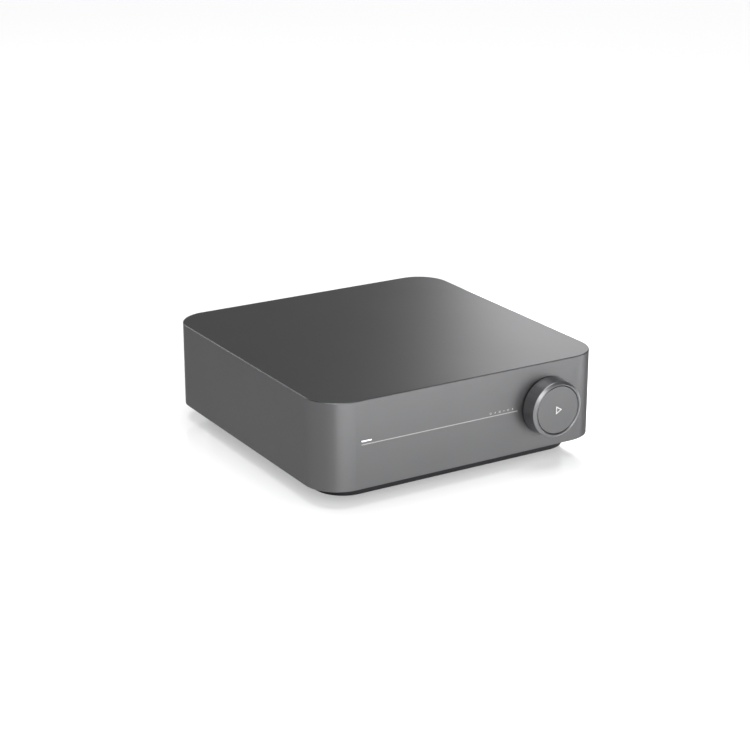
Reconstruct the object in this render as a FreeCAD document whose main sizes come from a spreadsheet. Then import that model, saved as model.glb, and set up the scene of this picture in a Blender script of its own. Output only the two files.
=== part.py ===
import FreeCAD, Part
import math
import os
from types import SimpleNamespace

import Sketcher
from FreeCAD import Placement, Rotation, Vector

# A compact streaming amplifier: a square one-piece aluminium body on an inset base, with one large
# volume knob whose centre is a push button, and loudspeaker posts and sockets at the back.
# X runs to the right along the front, Y towards the back and Z up. The origin is on the floor,
# under the middle of the body. All lengths are in millimetres.

SIZES = {
    # one-piece body
    "shell_width": 190.0,
    "shell_depth": 190.0,
    "shell_height": 52.4,
    "shell_corner_radius": 20.6,
    "shell_wall": 3.0,
    "shell_roof": 3.5,
    "shell_edge_chamfer": 0.4,
    "corner_boss_inset": 11.0,
    "corner_boss_radius": 5.0,
    # base plate, base pan and foot
    "base_plate_thickness": 1.5,
    "base_plate_recess": 1.5,
    "pan_drop": 8.0,
    "pan_inset": 11.0,
    "pan_corner_radius": 18.0,
    "pan_wall": 2.5,
    "pan_floor": 2.5,
    "pan_post_inset": 7.5,
    "pan_post_radius": 4.0,
    "foot_drop": 2.6,
    "foot_inset": 12.0,
    "foot_width": 9.0,
    "foot_seat": 0.8,
    "vent_width": 2.4,
    "vent_length": 60.0,
    "vent_pitch": 7.0,
    "vent_count": 9,
    # clearances between pieces
    "seat_clearance": 0.15,
    "thread_clearance": 0.05,
    "running_clearance": 0.06,
    "moving_clearance": 0.3,
    # small screws
    "screw_radius": 1.5,
    "screw_head_radius": 2.7,
    "screw_head_height": 1.5,
    "screw_bite": 6.0,
    "screw_hole_depth": 9.0,
    "small_screw_radius": 1.0,
    "small_screw_head_radius": 2.0,
    "small_screw_head_height": 1.3,
    "small_screw_bite": 5.0,
    "small_screw_hole_depth": 6.0,
    # front line and status bar
    "line_rise": 26.3,
    "line_side_margin": 24.1,
    "line_knob_gap": 21.1,
    "line_height": 0.45,
    "line_depth": 0.4,
    "bar_rise": 28.3,
    "bar_length": 6.6,
    "bar_height": 0.8,
    "guide_flange": 1.5,
    "light_board_length": 14.0,
    "light_board_height": 14.0,
    "light_post_radius": 1.5,
    "light_gap": 2.0,
    # volume knob, measured ahead of the front panel
    "knob_side_margin": 40.0,
    "knob_rise": 26.3,
    "knob_gap": 0.8,
    "knob_front": 11.4,
    "knob_back_radius": 17.45,
    "knob_front_radius": 17.0,
    "knob_bevel_depth": 1.5,
    "knob_bevel_round": 0.5,
    "knob_lip_radius": 15.5,
    "knob_lip_bevel": 0.4,
    "knob_well_radius": 14.8,
    "knob_well_depth": 5.4,
    "knob_web": 2.5,
    "knob_skirt": 2.2,
    # hub, bush and clip of the knob
    "hub_flange_radius": 12.0,
    "hub_flange": 1.2,
    "hub_spigot_radius": 7.0,
    "hub_radius": 6.0,
    "hub_bore_radius": 4.6,
    "hub_reach": 9.5,
    "bush_radius": 9.0,
    "bush_flange_radius": 11.5,
    "bush_flange": 1.5,
    "bush_front": 2.4,
    "nut_height": 2.0,
    "nut_radius": 12.5,
    "clip_radius": 8.5,
    "clip_thickness": 1.0,
    "clip_groove": 0.5,
    "clip_mouth": 6.6,
    "end_float": 0.2,
    # code wheel and its sensor
    "wheel_radius": 11.5,
    "wheel_thickness": 1.0,
    "wheel_boss_radius": 8.0,
    "wheel_boss": 2.4,
    "wheel_set_back": 0.9,
    "wheel_slot_radius": 10.2,
    "wheel_slot_length": 1.6,
    "wheel_slot_width": 1.0,
    "wheel_slot_count": 24,
    "sensor_width": 6.0,
    "sensor_air": 0.6,
    "sensor_arm": 1.1,
    "sensor_wrap": 2.5,
    "sensor_bridge": 2.3,
    # knob board, guide tube, button and switch
    "board_thickness": 1.6,
    "knob_board_set_back": 15.0,
    "knob_board_width": 38.0,
    "knob_board_height": 34.0,
    "knob_board_screws_x": 30.0,
    "knob_board_screws_z": 26.0,
    "knob_boss_radius": 3.0,
    "guide_radius": 4.3,
    "guide_front": 5.5,
    "guide_base": 14.0,
    "guide_base_height": 4.9,
    "guide_base_wall": 1.2,
    "guide_key_width": 3.8,
    "button_recess": 0.4,
    "button_thickness": 2.9,
    "button_edge": 0.3,
    "button_stem_radius": 2.4,
    "button_flat": 0.6,
    "button_tip_radius": 1.5,
    "button_tip": 1.3,
    "button_travel": 0.6,
    "switch_width": 6.0,
    "switch_height": 2.5,
    "switch_well": 2.0,
    # rear panel
    "window_bottom": 5.0,
    "window_top_margin": 5.0,
    "window_corner_radius": 5.0,
    "panel_thickness": 2.0,
    "panel_recess": 1.0,
    "panel_flange": 1.5,
    "panel_overlap": 2.0,
    # loudspeaker posts
    "post_margin_share": 0.375,
    "post_top_margin": 6.5,
    "post_pitch": 19.0,
    "stud_radius": 3.0,
    "stud_length": 18.0,
    "stud_tail": 9.5,
    "plug_bore_radius": 2.0,
    "plug_bore_depth": 18.0,
    "collar_radius": 6.0,
    "collar_height": 2.5,
    "collar_spigot_radius": 4.2,
    "washer_radius": 5.6,
    "washer_height": 3.0,
    "cap_radius": 5.5,
    "cap_length": 12.3,
    "cap_edge": 0.6,
    "cap_notch_width": 0.9,
    "cap_notch_depth": 0.4,
    "cap_notch_start": 1.8,
    "cap_notch_count": 20,
    "post_board_gap": 7.5,
    "post_board_margin": 7.0,
    # phono sockets
    "phono_rise": 18.4,
    "phono_pitch": 15.0,
    "phono_radius": 4.15,
    "phono_wall": 0.45,
    "phono_length": 9.0,
    "phono_flange_radius": 5.2,
    "phono_bore_radius": 1.7,
    "phono_bore_depth": 9.0,
    "phono_block_width": 12.5,
    "phono_block_depth": 12.0,
    # optical socket
    "optical_size": 10.2,
    "optical_cavity": 8.2,
    "optical_depth": 9.0,
    "optical_body_depth": 14.0,
    "shutter_thickness": 0.8,
    "shutter_inset": 1.4,
    "shutter_pin_radius": 0.6,
    # video, network and USB sockets
    "video_width": 15.0,
    "video_height": 5.8,
    "video_depth": 11.5,
    "video_corner": 1.5,
    "network_width": 16.2,
    "network_height": 13.6,
    "network_depth": 21.0,
    "network_cavity_width": 11.8,
    "network_cavity_height": 7.4,
    "network_cavity_depth": 14.0,
    "network_latch_width": 6.2,
    "network_latch_height": 2.2,
    "network_floor": 1.6,
    "usb_width": 13.2,
    "usb_height": 5.8,
    "usb_depth": 14.0,
    "port_wall": 0.4,
    "tongue_thickness": 1.5,
    "tongue_margin": 1.4,
    # mains inlet
    "inlet_rise": 25.4,
    "inlet_flange_width": 24.3,
    "inlet_flange_height": 18.0,
    "inlet_flange_corner": 2.0,
    "inlet_body_width": 21.4,
    "inlet_body_height": 13.4,
    "inlet_body_depth": 18.0,
    "inlet_lobe_radius": 4.3,
    "inlet_waist": 6.0,
    "inlet_recess": 12.0,
    "inlet_pin_pitch": 8.6,
    "inlet_pin_radius": 1.2,
    "inlet_pin_length": 10.0,
    # boards and what stands on them
    "standoff_height": 4.8,
    "standoff_radius": 3.0,
    "board_screw_inset": 4.5,
    "board_screw_front_inset": 14.0,
    "board_screw_rear_inset": 22.0,
    "board_side_margin": 14.0,
    "board_gap": 2.0,
    "main_board_length": 124.0,
    "board_rear_margin": 2.0,
    "power_board_width": 32.0,
    "power_board_front_gap": 8.9,
    "chip_size": 14.0,
    "chip_height": 1.2,
    "chip_pitch": 26.0,
    "chip_side_margin": 46.0,
    "chip_rear_margin": 80.5,
    "spreader_width": 46.0,
    "spreader_depth": 24.0,
    "spreader_foot": 4.0,
    "spreader_column": 16.0,
    "spreader_head": 3.0,
    "coil_size": 12.0,
    "coil_height": 9.0,
    "coil_pitch": 15.0,
    "coil_rear_margin": 48.5,
    "film_length": 12.0,
    "film_width": 6.0,
    "film_height": 11.0,
    "film_rear_margin": 31.5,
    "module_width": 22.0,
    "module_length": 18.0,
    "module_height": 2.6,
    "module_side_margin": 22.0,
    "module_front_margin": 21.5,
    "aerial_length": 36.0,
    "aerial_width": 8.0,
    "aerial_thickness": 0.8,
    "transformer_width": 24.0,
    "transformer_length": 28.0,
    "transformer_height": 26.0,
    "transformer_rear_margin": 76.5,
    "transformer_wire": 3.9,
    "bulk_radius": 8.0,
    "bulk_height": 30.0,
    "bulk_front_margin": 17.5,
    "bulk_pitch": 20.0,
    "choke_radius": 11.0,
    "choke_hole_radius": 5.0,
    "choke_height": 7.0,
    "choke_rear_margin": 36.5,
    "ribbon_width": 7.0,
    "ribbon_thickness": 0.4,
    "ribbon_side_margin": 3.0,
    "ribbon_bend_radius": 3.0,
    "connector_height": 2.0,
    "ribbon_drop": 8.5,
}


class Size:
    """A length, with the expression that ties it to the sheet of sizes."""

    def __init__(self, number, text):
        self.number = number
        self.text = text

    def __add__(self, other):
        other = as_size(other)
        return Size(self.number + other.number, f"({self.text} + {other.text})")

    def __radd__(self, other):
        return as_size(other) + self

    def __sub__(self, other):
        other = as_size(other)
        return Size(self.number - other.number, f"({self.text} - {other.text})")

    def __rsub__(self, other):
        return as_size(other) - self

    def __mul__(self, factor):
        factor = as_size(factor)
        return Size(self.number * factor.number, f"({self.text} * {factor.text})")

    def __rmul__(self, factor):
        return self * factor

    def __truediv__(self, divisor):
        return Size(self.number / divisor, f"({self.text} / {divisor})")

    def __neg__(self):
        return Size(-self.number, f"(0 - {self.text})")


def as_size(item):
    """Turn a bare number into a size that the sheet doesn't change."""
    return item if isinstance(item, Size) else Size(float(item), str(float(item)))


doc = FreeCAD.newDocument("StreamingAmplifier")
sheet = doc.addObject("Spreadsheet::Sheet", "Sizes")
for row, (alias, amount) in enumerate(SIZES.items(), start=1):
    sheet.set(f"A{row}", alias)
    sheet.set(f"B{row}", str(amount))
    sheet.setAlias(f"B{row}", alias)
doc.recompute()
S = SimpleNamespace(**{alias: Size(float(amount), "Sizes." + alias) for alias, amount in SIZES.items()})

pieces = {}
PLANES = {"plan": "XY_Plane", "front": "XZ_Plane", "side": "YZ_Plane"}
NORMAL = {"plan": 1, "front": -1, "side": 1}


# Helpers for bodies, sketches and features

def new_body(label):
    """Start a piece that is built up from sketches."""
    body = doc.addObject("PartDesign::Body", label)
    body.Label = label
    pieces[label] = body
    return body


def origin_part(body, role):
    """Find one plane or axis of a body's own origin."""
    return next(item for item in body.Origin.OriginFeatures if item.Role == role)


def bind(item, prop, length):
    """Tie a property to the sheet."""
    item.setExpression(prop, as_size(length).text)


def new_sketch(body, name, view, level=0.0):
    """Open a sketch: plan at a height, front at a depth or side at a width."""
    sketch = body.newObject("Sketcher::SketchObject", f"{body.Label}_{name}")
    sketch.AttachmentSupport = [(origin_part(body, PLANES[view]), "")]
    sketch.MapMode = "FlatFace"
    sketch.Label2 = view
    bind(sketch, "AttachmentOffset.Base.z", as_size(level) * NORMAL[view])
    return sketch


def hold_point(sketch, line, end, across, up):
    """Keep a point of a sketch at a place that follows the sheet."""
    for kind, place in (("DistanceX", as_size(across)), ("DistanceY", as_size(up))):
        index = sketch.addConstraint(Sketcher.Constraint(kind, -1, 1, line, end, place.number))
        sketch.setExpression(f"Constraints[{index}]", place.text)


def draw_outline(sketch, corners):
    """Draw a closed outline of straight lines through corners given as across and up."""
    first = sketch.GeometryCount
    places = [Vector(as_size(across).number, as_size(up).number, 0) for across, up in corners]
    count = len(places)
    for index, place in enumerate(places):
        sketch.addGeometry(Part.LineSegment(place, places[(index + 1) % count]), False)
    for index, (across, up) in enumerate(corners):
        following = first + (index + 1) % count
        sketch.addConstraint(Sketcher.Constraint("Coincident", first + index, 2, following, 1))
        hold_point(sketch, first + index, 1, across, up)


def draw_rectangle(sketch, across, up):
    """Draw a rectangle between two places across and two places up."""
    left, right = across
    low, high = up
    draw_outline(sketch, [(left, low), (right, low), (right, high), (left, high)])


def draw_circle(sketch, across, up, radius):
    """Draw a circle whose centre and radius follow the sheet."""
    across, up, radius = as_size(across), as_size(up), as_size(radius)
    centre = Vector(across.number, up.number, 0)
    circle = sketch.addGeometry(Part.Circle(centre, Vector(0, 0, 1), radius.number), False)
    hold_point(sketch, circle, 3, across, up)
    index = sketch.addConstraint(Sketcher.Constraint("Radius", circle, radius.number))
    sketch.setExpression(f"Constraints[{index}]", radius.text)


def draw_hexagon(sketch, across, up, radius):
    """Draw a regular hexagon by the radius of its corners."""
    corners = [
        (across + radius * math.cos(math.radians(angle)), up + radius * math.sin(math.radians(angle)))
        for angle in range(0, 360, 60)
    ]
    draw_outline(sketch, corners)


def pad(body, sketch, length, direction):
    """Add a sketch's outline as material along the positive or negative axis."""
    feature = body.newObject("PartDesign::Pad", sketch.Name + "_pad")
    feature.Profile = sketch
    bind(feature, "Length", length)
    feature.Reversed = direction != NORMAL[sketch.Label2]
    return feature


def pocket(body, sketch, length, direction):
    """Cut a sketch's outline out along the positive or negative axis."""
    feature = body.newObject("PartDesign::Pocket", sketch.Name + "_pocket")
    feature.Profile = sketch
    bind(feature, "Length", length)
    feature.Reversed = direction == NORMAL[sketch.Label2]
    return feature


def block(body, name, across_x, across_y, across_z):
    """Add a rectangular block between two places along each axis."""
    sketch = new_sketch(body, name, "plan", across_z[0])
    draw_rectangle(sketch, across_x, across_y)
    return pad(body, sketch, as_size(across_z[1]) - across_z[0], 1)


def cut_block(body, name, across_x, across_y, across_z):
    """Cut a rectangular block out between two places along each axis."""
    sketch = new_sketch(body, name, "plan", across_z[0])
    draw_rectangle(sketch, across_x, across_y)
    return pocket(body, sketch, as_size(across_z[1]) - across_z[0], 1)


def turn(body, name, profile):
    """Turn a profile, given as radius and height, about the body's own Z axis."""
    sketch = new_sketch(body, name, "front")
    draw_outline(sketch, profile)
    feature = body.newObject("PartDesign::Revolution", sketch.Name + "_turned")
    feature.Profile = sketch
    feature.ReferenceAxis = (sketch, ["V_Axis"])
    feature.Angle = 360
    return feature


def round_edges(body, name, kind, amount, wanted):
    """Fillet or chamfer those edges of the body so far that a test picks out."""
    doc.recompute()
    base = body.Tip
    edges = [f"Edge{i}" for i, edge in enumerate(base.Shape.Edges, start=1) if wanted(edge)]
    feature = body.newObject("PartDesign::" + kind, f"{body.Label}_{name}")
    feature.Base = (base, edges)
    bind(feature, "Radius" if kind == "Fillet" else "Size", amount)
    return feature


def repeat_round(body, feature, count):
    """Repeat a feature evenly about the body's own Z axis."""
    pattern = body.newObject("PartDesign::PolarPattern", feature.Name + "_round")
    pattern.Originals = [feature]
    pattern.Axis = (origin_part(body, "Z_Axis"), [""])
    pattern.Angle = 360
    bind(pattern, "Occurrences", count)
    body.Tip = pattern
    return pattern


def repeat_along(body, feature, axis, pitch, count):
    """Repeat a feature in a row along one axis."""
    pattern = body.newObject("PartDesign::LinearPattern", feature.Name + "_row")
    pattern.Originals = [feature]
    pattern.Direction = (origin_part(body, axis), [""])
    pattern.Mode = "Spacing"
    bind(pattern, "Offset", pitch)
    bind(pattern, "Occurrences", count)
    body.Tip = pattern
    return pattern


def place(item, x, y, z, turn_about_x=0):
    """Put a piece at its place, turned about X so that its own axis points forwards or back."""
    item.Placement = Placement(Vector(0, 0, 0), Rotation(Vector(1, 0, 0), turn_about_x))
    for letter, length in (("x", x), ("y", y), ("z", z)):
        bind(item, "Placement.Base." + letter, length)


def box_part(name, across_x, across_y, across_z):
    """Make a plain box between two places along each axis."""
    box = doc.addObject("Part::Box", name)
    for prop, (low, high) in zip(("Length", "Width", "Height"), (across_x, across_y, across_z)):
        bind(box, prop, as_size(high) - low)
    place(box, across_x[0], across_y[0], across_z[0])
    return box


def rod_part(name, radius, height, x, y, z, turn_about_x=0):
    """Make a plain round rod standing at a place."""
    rod = doc.addObject("Part::Cylinder", name)
    bind(rod, "Radius", radius)
    bind(rod, "Height", height)
    place(rod, x, y, z, turn_about_x)
    return rod


def cut_part(name, base, tool):
    """Take one shape out of another."""
    cut = doc.addObject("Part::Cut", name)
    cut.Base = base
    cut.Tool = tool
    return cut


def fuse_parts(name, shapes):
    """Join several shapes into one."""
    fusion = doc.addObject("Part::MultiFuse", name)
    fusion.Shapes = shapes
    return fusion


def group(label, shapes):
    """Keep several like solids as one named piece."""
    compound = doc.addObject("Part::Compound", label)
    compound.Links = shapes
    return keep(label, compound)


def keep(label, item):
    """Record a finished piece under its name."""
    item.Label = label
    pieces[label] = item
    return item


def around(middle, width):
    """Give the two ends of a width about its middle."""
    return (middle - width / 2, middle + width / 2)


def standing(edge):
    """Tell whether an edge runs straight along Z."""
    ends = [vertex.Point for vertex in edge.Vertexes]
    return len(ends) == 2 and abs(ends[0].x - ends[1].x) + abs(ends[0].y - ends[1].y) < 1e-6


def level_at(height):
    """Make a test that picks the edges lying at one height."""
    return lambda edge: max(abs(edge.BoundBox.ZMin - height), abs(edge.BoundBox.ZMax - height)) < 1e-6


def along_y(edge):
    """Tell whether an edge runs straight along Y."""
    ends = [vertex.Point for vertex in edge.Vertexes]
    return len(ends) == 2 and abs(ends[0].x - ends[1].x) + abs(ends[0].z - ends[1].z) < 1e-6


def along_x_at(places):
    """Make a test that picks the edges running along X through any of the places given as Y and Z."""
    spots = [(y.number, z.number) for y, z in places]

    def wanted(edge):
        box = edge.BoundBox
        return any(
            abs(box.YMin - y) + abs(box.YMax - y) + abs(box.ZMin - z) + abs(box.ZMax - z) < 1e-6
            for y, z in spots
        )

    return wanted


FOUR_CORNERS = ((-1, -1), (1, -1), (1, 1), (-1, 1))
FOUR_SIDES = ((-1, 0), (1, 0), (0, -1), (0, 1))

# Heights and depths that several pieces share
pan_bottom = S.foot_drop
shell_bottom = pan_bottom + S.pan_drop
shell_top = shell_bottom + S.shell_height
roof_under = shell_top - S.shell_roof
plate_under = shell_bottom + S.base_plate_recess
plate_top = plate_under + S.base_plate_thickness
board_under = plate_top + S.standoff_height
board_top = board_under + S.board_thickness
front_y = -S.shell_depth / 2
front_inner_y = front_y + S.shell_wall
rear_y = S.shell_depth / 2
panel_back = rear_y - S.panel_recess
panel_front = panel_back - S.panel_thickness
shell_half_x = S.shell_width / 2
knob_x = shell_half_x - S.knob_side_margin
knob_z = shell_bottom + S.knob_rise
line_left = S.line_side_margin - shell_half_x
line_right = knob_x - S.line_knob_gap
window_half_x = shell_half_x - S.shell_corner_radius - S.panel_overlap
window_low = shell_bottom + S.window_bottom
window_high = shell_top - S.window_top_margin
screw_hole_radius = S.screw_radius + S.thread_clearance
small_hole_radius = S.small_screw_radius + S.thread_clearance
corner_x = shell_half_x - S.corner_boss_inset
corner_y = S.shell_depth / 2 - S.corner_boss_inset
pan_half_x = shell_half_x - S.pan_inset
pan_half_y = S.shell_depth / 2 - S.pan_inset
pan_screw_x = pan_half_x - S.pan_post_inset
pan_screw_y = pan_half_y - S.pan_post_inset


# One-piece body

def make_top_shell():
    """Machine the body: rounded square, hollow from below, with bosses, front holes and a rear window."""
    body = new_body("top_shell")
    sketch = new_sketch(body, "outline", "plan", shell_bottom)
    draw_rectangle(sketch, around(0, S.shell_width), around(0, S.shell_depth))
    pad(body, sketch, S.shell_height, 1)
    round_edges(body, "corners", "Fillet", S.shell_corner_radius, standing)
    round_edges(body, "top_edge", "Chamfer", S.shell_edge_chamfer, level_at(shell_top.number))
    inner_x = shell_half_x - S.shell_wall
    inner_y = S.shell_depth / 2 - S.shell_wall
    sketch = new_sketch(body, "hollow", "plan", shell_bottom)
    draw_rounded_rectangle(sketch, inner_x, inner_y, S.shell_corner_radius - S.shell_wall)
    pocket(body, sketch, S.shell_height - S.shell_roof, 1)
    sketch = new_sketch(body, "bosses", "plan", plate_top)
    for side, end in FOUR_CORNERS:
        draw_circle(sketch, corner_x * side, corner_y * end, S.corner_boss_radius)
    pad(body, sketch, roof_under - plate_top, 1)
    sketch = new_sketch(body, "boss_holes", "plan", plate_top)
    for side, end in FOUR_CORNERS:
        draw_circle(sketch, corner_x * side, corner_y * end, screw_hole_radius)
    pocket(body, sketch, S.screw_hole_depth, 1)
    make_knob_seat(body)
    make_front_marks(body)
    make_rear_window(body)


def make_knob_seat(body):
    """Add the hole for the knob's bush, and the four bosses that carry the knob board."""
    sketch = new_sketch(body, "knob_bosses", "front", front_inner_y)
    for side, end in FOUR_CORNERS:
        x = knob_x + S.knob_board_screws_x / 2 * side
        draw_circle(sketch, x, knob_z + S.knob_board_screws_z / 2 * end, S.knob_boss_radius)
    pad(body, sketch, S.knob_board_set_back - S.shell_wall, 1)
    sketch = new_sketch(body, "knob_boss_holes", "front", front_y + S.knob_board_set_back)
    for side, end in FOUR_CORNERS:
        x = knob_x + S.knob_board_screws_x / 2 * side
        draw_circle(sketch, x, knob_z + S.knob_board_screws_z / 2 * end, small_hole_radius)
    pocket(body, sketch, S.small_screw_hole_depth, -1)
    sketch = new_sketch(body, "bush_hole", "front", front_y)
    draw_circle(sketch, knob_x, knob_z, S.bush_radius + S.thread_clearance)
    pocket(body, sketch, S.shell_wall, 1)


def make_front_marks(body):
    """Cut the fine slot of the front line, and the window of the status bar through the wall."""
    low = shell_bottom + S.line_rise - S.line_height / 2
    cut_block(
        body, "line_slot", (line_left, line_right), (front_y, front_y + S.line_depth),
        (low, low + S.line_height),
    )
    low = shell_bottom + S.bar_rise - S.bar_height / 2
    cut_block(
        body, "bar_slot", (line_left, line_left + S.bar_length), (front_y, front_inner_y),
        (low, low + S.bar_height),
    )


def make_rear_window(body):
    """Open the rear wall for the socket panel, with rounded corners."""
    sketch = new_sketch(body, "window", "front", rear_y)
    draw_rectangle(sketch, (-window_half_x, window_half_x), (window_low, window_high))
    pocket(body, sketch, S.shell_wall, -1)
    edge_x = window_half_x.number
    round_edges(
        body, "window_corners", "Fillet", S.window_corner_radius,
        lambda edge: along_y(edge) and edge.BoundBox.YMax > 0
        and abs(abs(edge.BoundBox.XMin) - edge_x) < 1e-6,
    )


def make_front_line():
    """Fill the slot of the front line with its white strip, flush with the panel."""
    low = shell_bottom + S.line_rise - S.line_height / 2
    keep("front_line", box_part(
        "front_line", (line_left, line_right), (front_y, front_y + S.line_depth),
        (low, low + S.line_height),
    ))


def make_status_guide():
    """Mould the clear guide of the status bar: a thin tongue in the wall and a flange behind it."""
    body = new_body("status_guide")
    z = shell_bottom + S.bar_rise
    gap = S.thread_clearance
    block(
        body, "tongue", (line_left + gap, line_left + S.bar_length - gap),
        (front_y, front_inner_y), around(z, S.bar_height - gap * 2),
    )
    block(
        body, "flange", (line_left - S.guide_flange, line_left + S.bar_length + S.guide_flange),
        (front_inner_y, front_inner_y + S.guide_flange), around(z, S.bar_height + S.guide_flange * 2),
    )


def make_light_board():
    """Stand the small lamp board behind the status guide, with its lamp against the flange."""
    body = new_body("light_board")
    x = line_left + S.bar_length / 2
    z = shell_bottom + S.bar_rise
    lamp_y = front_inner_y + S.guide_flange
    board_y = lamp_y + S.light_gap
    block(body, "lamp", around(x, S.bar_length), (lamp_y, board_y), around(z, S.light_gap))
    block(
        body, "board", around(x, S.light_board_length), (board_y, board_y + S.board_thickness),
        around(z, S.light_board_height),
    )
    post_rise = S.light_board_height / 2 - S.light_post_radius
    sketch = new_sketch(body, "posts", "front", front_inner_y)
    for side in (-1, 1):
        draw_circle(sketch, x, z + post_rise * side, S.light_post_radius)
    pad(body, sketch, board_y - front_inner_y, 1)


# Base plate, base pan, foot and their screws

def make_vents(body, low, depth):
    """Cut a row of long vents through a floor."""
    first = S.vent_pitch * (1 - S.vent_count) / 2
    sketch = new_sketch(body, "vent", "plan", low)
    draw_rectangle(sketch, around(first, S.vent_width), around(0, S.vent_length))
    repeat_along(body, pocket(body, sketch, depth, 1), "X_Axis", S.vent_pitch, S.vent_count)


def make_base_plate():
    """Press the steel plate that closes the body and carries the boards."""
    body = new_body("base_plate")
    edge = S.shell_wall + S.seat_clearance
    sketch = new_sketch(body, "outline", "plan", plate_under)
    draw_rectangle(sketch, around(0, S.shell_width - edge * 2), around(0, S.shell_depth - edge * 2))
    pad(body, sketch, S.base_plate_thickness, 1)
    round_edges(body, "corners", "Fillet", S.shell_corner_radius - edge, standing)
    sketch = new_sketch(body, "holes", "plan", plate_under)
    for side, end in FOUR_CORNERS:
        draw_circle(sketch, corner_x * side, corner_y * end, screw_hole_radius)
    for side, end in FOUR_SIDES:
        draw_circle(sketch, pan_screw_x * side, pan_screw_y * end, screw_hole_radius)
    pocket(body, sketch, S.base_plate_thickness, 1)
    make_vents(body, plate_under, S.base_plate_thickness)


def make_base_pan():
    """Mould the dark pan under the body: a thin floor and wall, screw posts, vents and the foot's groove."""
    body = new_body("base_pan")
    sketch = new_sketch(body, "outline", "plan", pan_bottom)
    draw_rectangle(sketch, (-pan_half_x, pan_half_x), (-pan_half_y, pan_half_y))
    pad(body, sketch, plate_under - pan_bottom, 1)
    round_edges(body, "corners", "Fillet", S.pan_corner_radius, standing)
    inner_x = pan_half_x - S.pan_wall
    inner_y = pan_half_y - S.pan_wall
    sketch = new_sketch(body, "hollow", "plan", pan_bottom + S.pan_floor)
    draw_rounded_rectangle(sketch, inner_x, inner_y, S.pan_corner_radius - S.pan_wall)
    pocket(body, sketch, plate_under - pan_bottom - S.pan_floor, 1)
    sketch = new_sketch(body, "posts", "plan", pan_bottom + S.pan_floor)
    for side, end in FOUR_SIDES:
        draw_circle(sketch, pan_screw_x * side, pan_screw_y * end, S.pan_post_radius)
    pad(body, sketch, plate_under - pan_bottom - S.pan_floor, 1)
    sketch = new_sketch(body, "screw_holes", "plan", pan_bottom)
    for side, end in FOUR_SIDES:
        draw_circle(sketch, pan_screw_x * side, pan_screw_y * end, screw_hole_radius)
    pocket(body, sketch, plate_under - pan_bottom, 1)
    sketch = new_sketch(body, "head_wells", "plan", pan_bottom)
    for side, end in FOUR_SIDES:
        draw_circle(sketch, pan_screw_x * side, pan_screw_y * end, S.screw_head_radius + S.seat_clearance)
    pocket(body, sketch, S.screw_head_height, 1)
    make_foot_ring_outline(body, "foot_groove", pan_bottom, S.foot_seat, pocket, S.seat_clearance)
    make_vents(body, pan_bottom, S.pan_floor)


def make_foot_ring_outline(body, name, low, height, feature, slack):
    """Draw the rounded square ring of the foot and add it, or cut it with some slack, from below."""
    sketch = new_sketch(body, name, "plan", low)
    for inset in (S.foot_inset - slack, S.foot_inset + S.foot_width + slack):
        draw_rounded_rectangle(
            sketch, pan_half_x - inset, pan_half_y - inset, S.pan_corner_radius - inset / 2
        )
    return feature(body, sketch, height, 1)


def draw_rounded_rectangle(sketch, half_x, half_y, radius):
    """Draw a rectangle about the origin with four round corners, every end held to the sheet."""
    first = sketch.GeometryCount
    straight_x = half_x - radius
    straight_y = half_y - radius
    runs = [
        ((-straight_x, -half_y), (straight_x, -half_y)),
        ((half_x, -straight_y), (half_x, straight_y)),
        ((straight_x, half_y), (-straight_x, half_y)),
        ((-half_x, straight_y), (-half_x, -straight_y)),
    ]
    centres = [
        (straight_x, -straight_y), (straight_x, straight_y),
        (-straight_x, straight_y), (-straight_x, -straight_y),
    ]
    quarter = math.pi / 2
    for start, end in runs:
        ends = [Vector(across.number, up.number, 0) for across, up in (start, end)]
        sketch.addGeometry(Part.LineSegment(*ends), False)
    for index, (across, up) in enumerate(centres):
        circle = Part.Circle(Vector(across.number, up.number, 0), Vector(0, 0, 1), radius.number)
        sketch.addGeometry(Part.ArcOfCircle(circle, (index - 1) * quarter, index * quarter), False)
    for index in range(4):
        line, arc, following = first + index, first + 4 + index, first + (index + 1) % 4
        hold_point(sketch, line, 1, *runs[index][0])
        hold_point(sketch, line, 2, *runs[index][1])
        sketch.addConstraint(Sketcher.Constraint("Coincident", arc, 1, line, 2))
        sketch.addConstraint(Sketcher.Constraint("Coincident", arc, 2, following, 1))
        number = sketch.addConstraint(Sketcher.Constraint("Radius", arc, radius.number))
        sketch.setExpression(f"Constraints[{number}]", radius.text)


def make_foot_ring():
    """Mould the rubber foot, one soft ring pressed into the pan's groove."""
    body = new_body("foot_ring")
    make_foot_ring_outline(body, "ring", 0.0, S.foot_drop + S.foot_seat, pad, as_size(0))


def add_screws(body, name, places, seat, shank, upwards=1):
    """Add pan-head screws to a group, their heads against a seat and their shanks beyond it."""
    heads = new_sketch(body, name + "_heads", "plan", seat)
    for x, y in places:
        draw_circle(heads, x, y, S.screw_head_radius)
    pad(body, heads, S.screw_head_height, -upwards)
    shanks = new_sketch(body, name + "_shanks", "plan", seat)
    for x, y in places:
        draw_circle(shanks, x, y, S.screw_radius)
    pad(body, shanks, shank, upwards)


def make_base_screws():
    """Fix the base plate to the corner bosses, and the pan to the base plate."""
    body = new_body("base_screws")
    corners = [(corner_x * side, corner_y * end) for side, end in FOUR_CORNERS]
    add_screws(body, "corner", corners, plate_under, S.base_plate_thickness + S.screw_bite)
    sides = [(pan_screw_x * side, pan_screw_y * end) for side, end in FOUR_SIDES]
    seat = pan_bottom + S.screw_head_height
    add_screws(body, "side", sides, seat, plate_top - seat)


# Volume knob: ring, hub, bush, nut and clip, all turned about the knob's axis

def on_knob_axis(item):
    """Put a turned piece on the knob's axis, its own Z pointing to the front from the panel."""
    place(item, knob_x, front_y, knob_z, 90)


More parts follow.
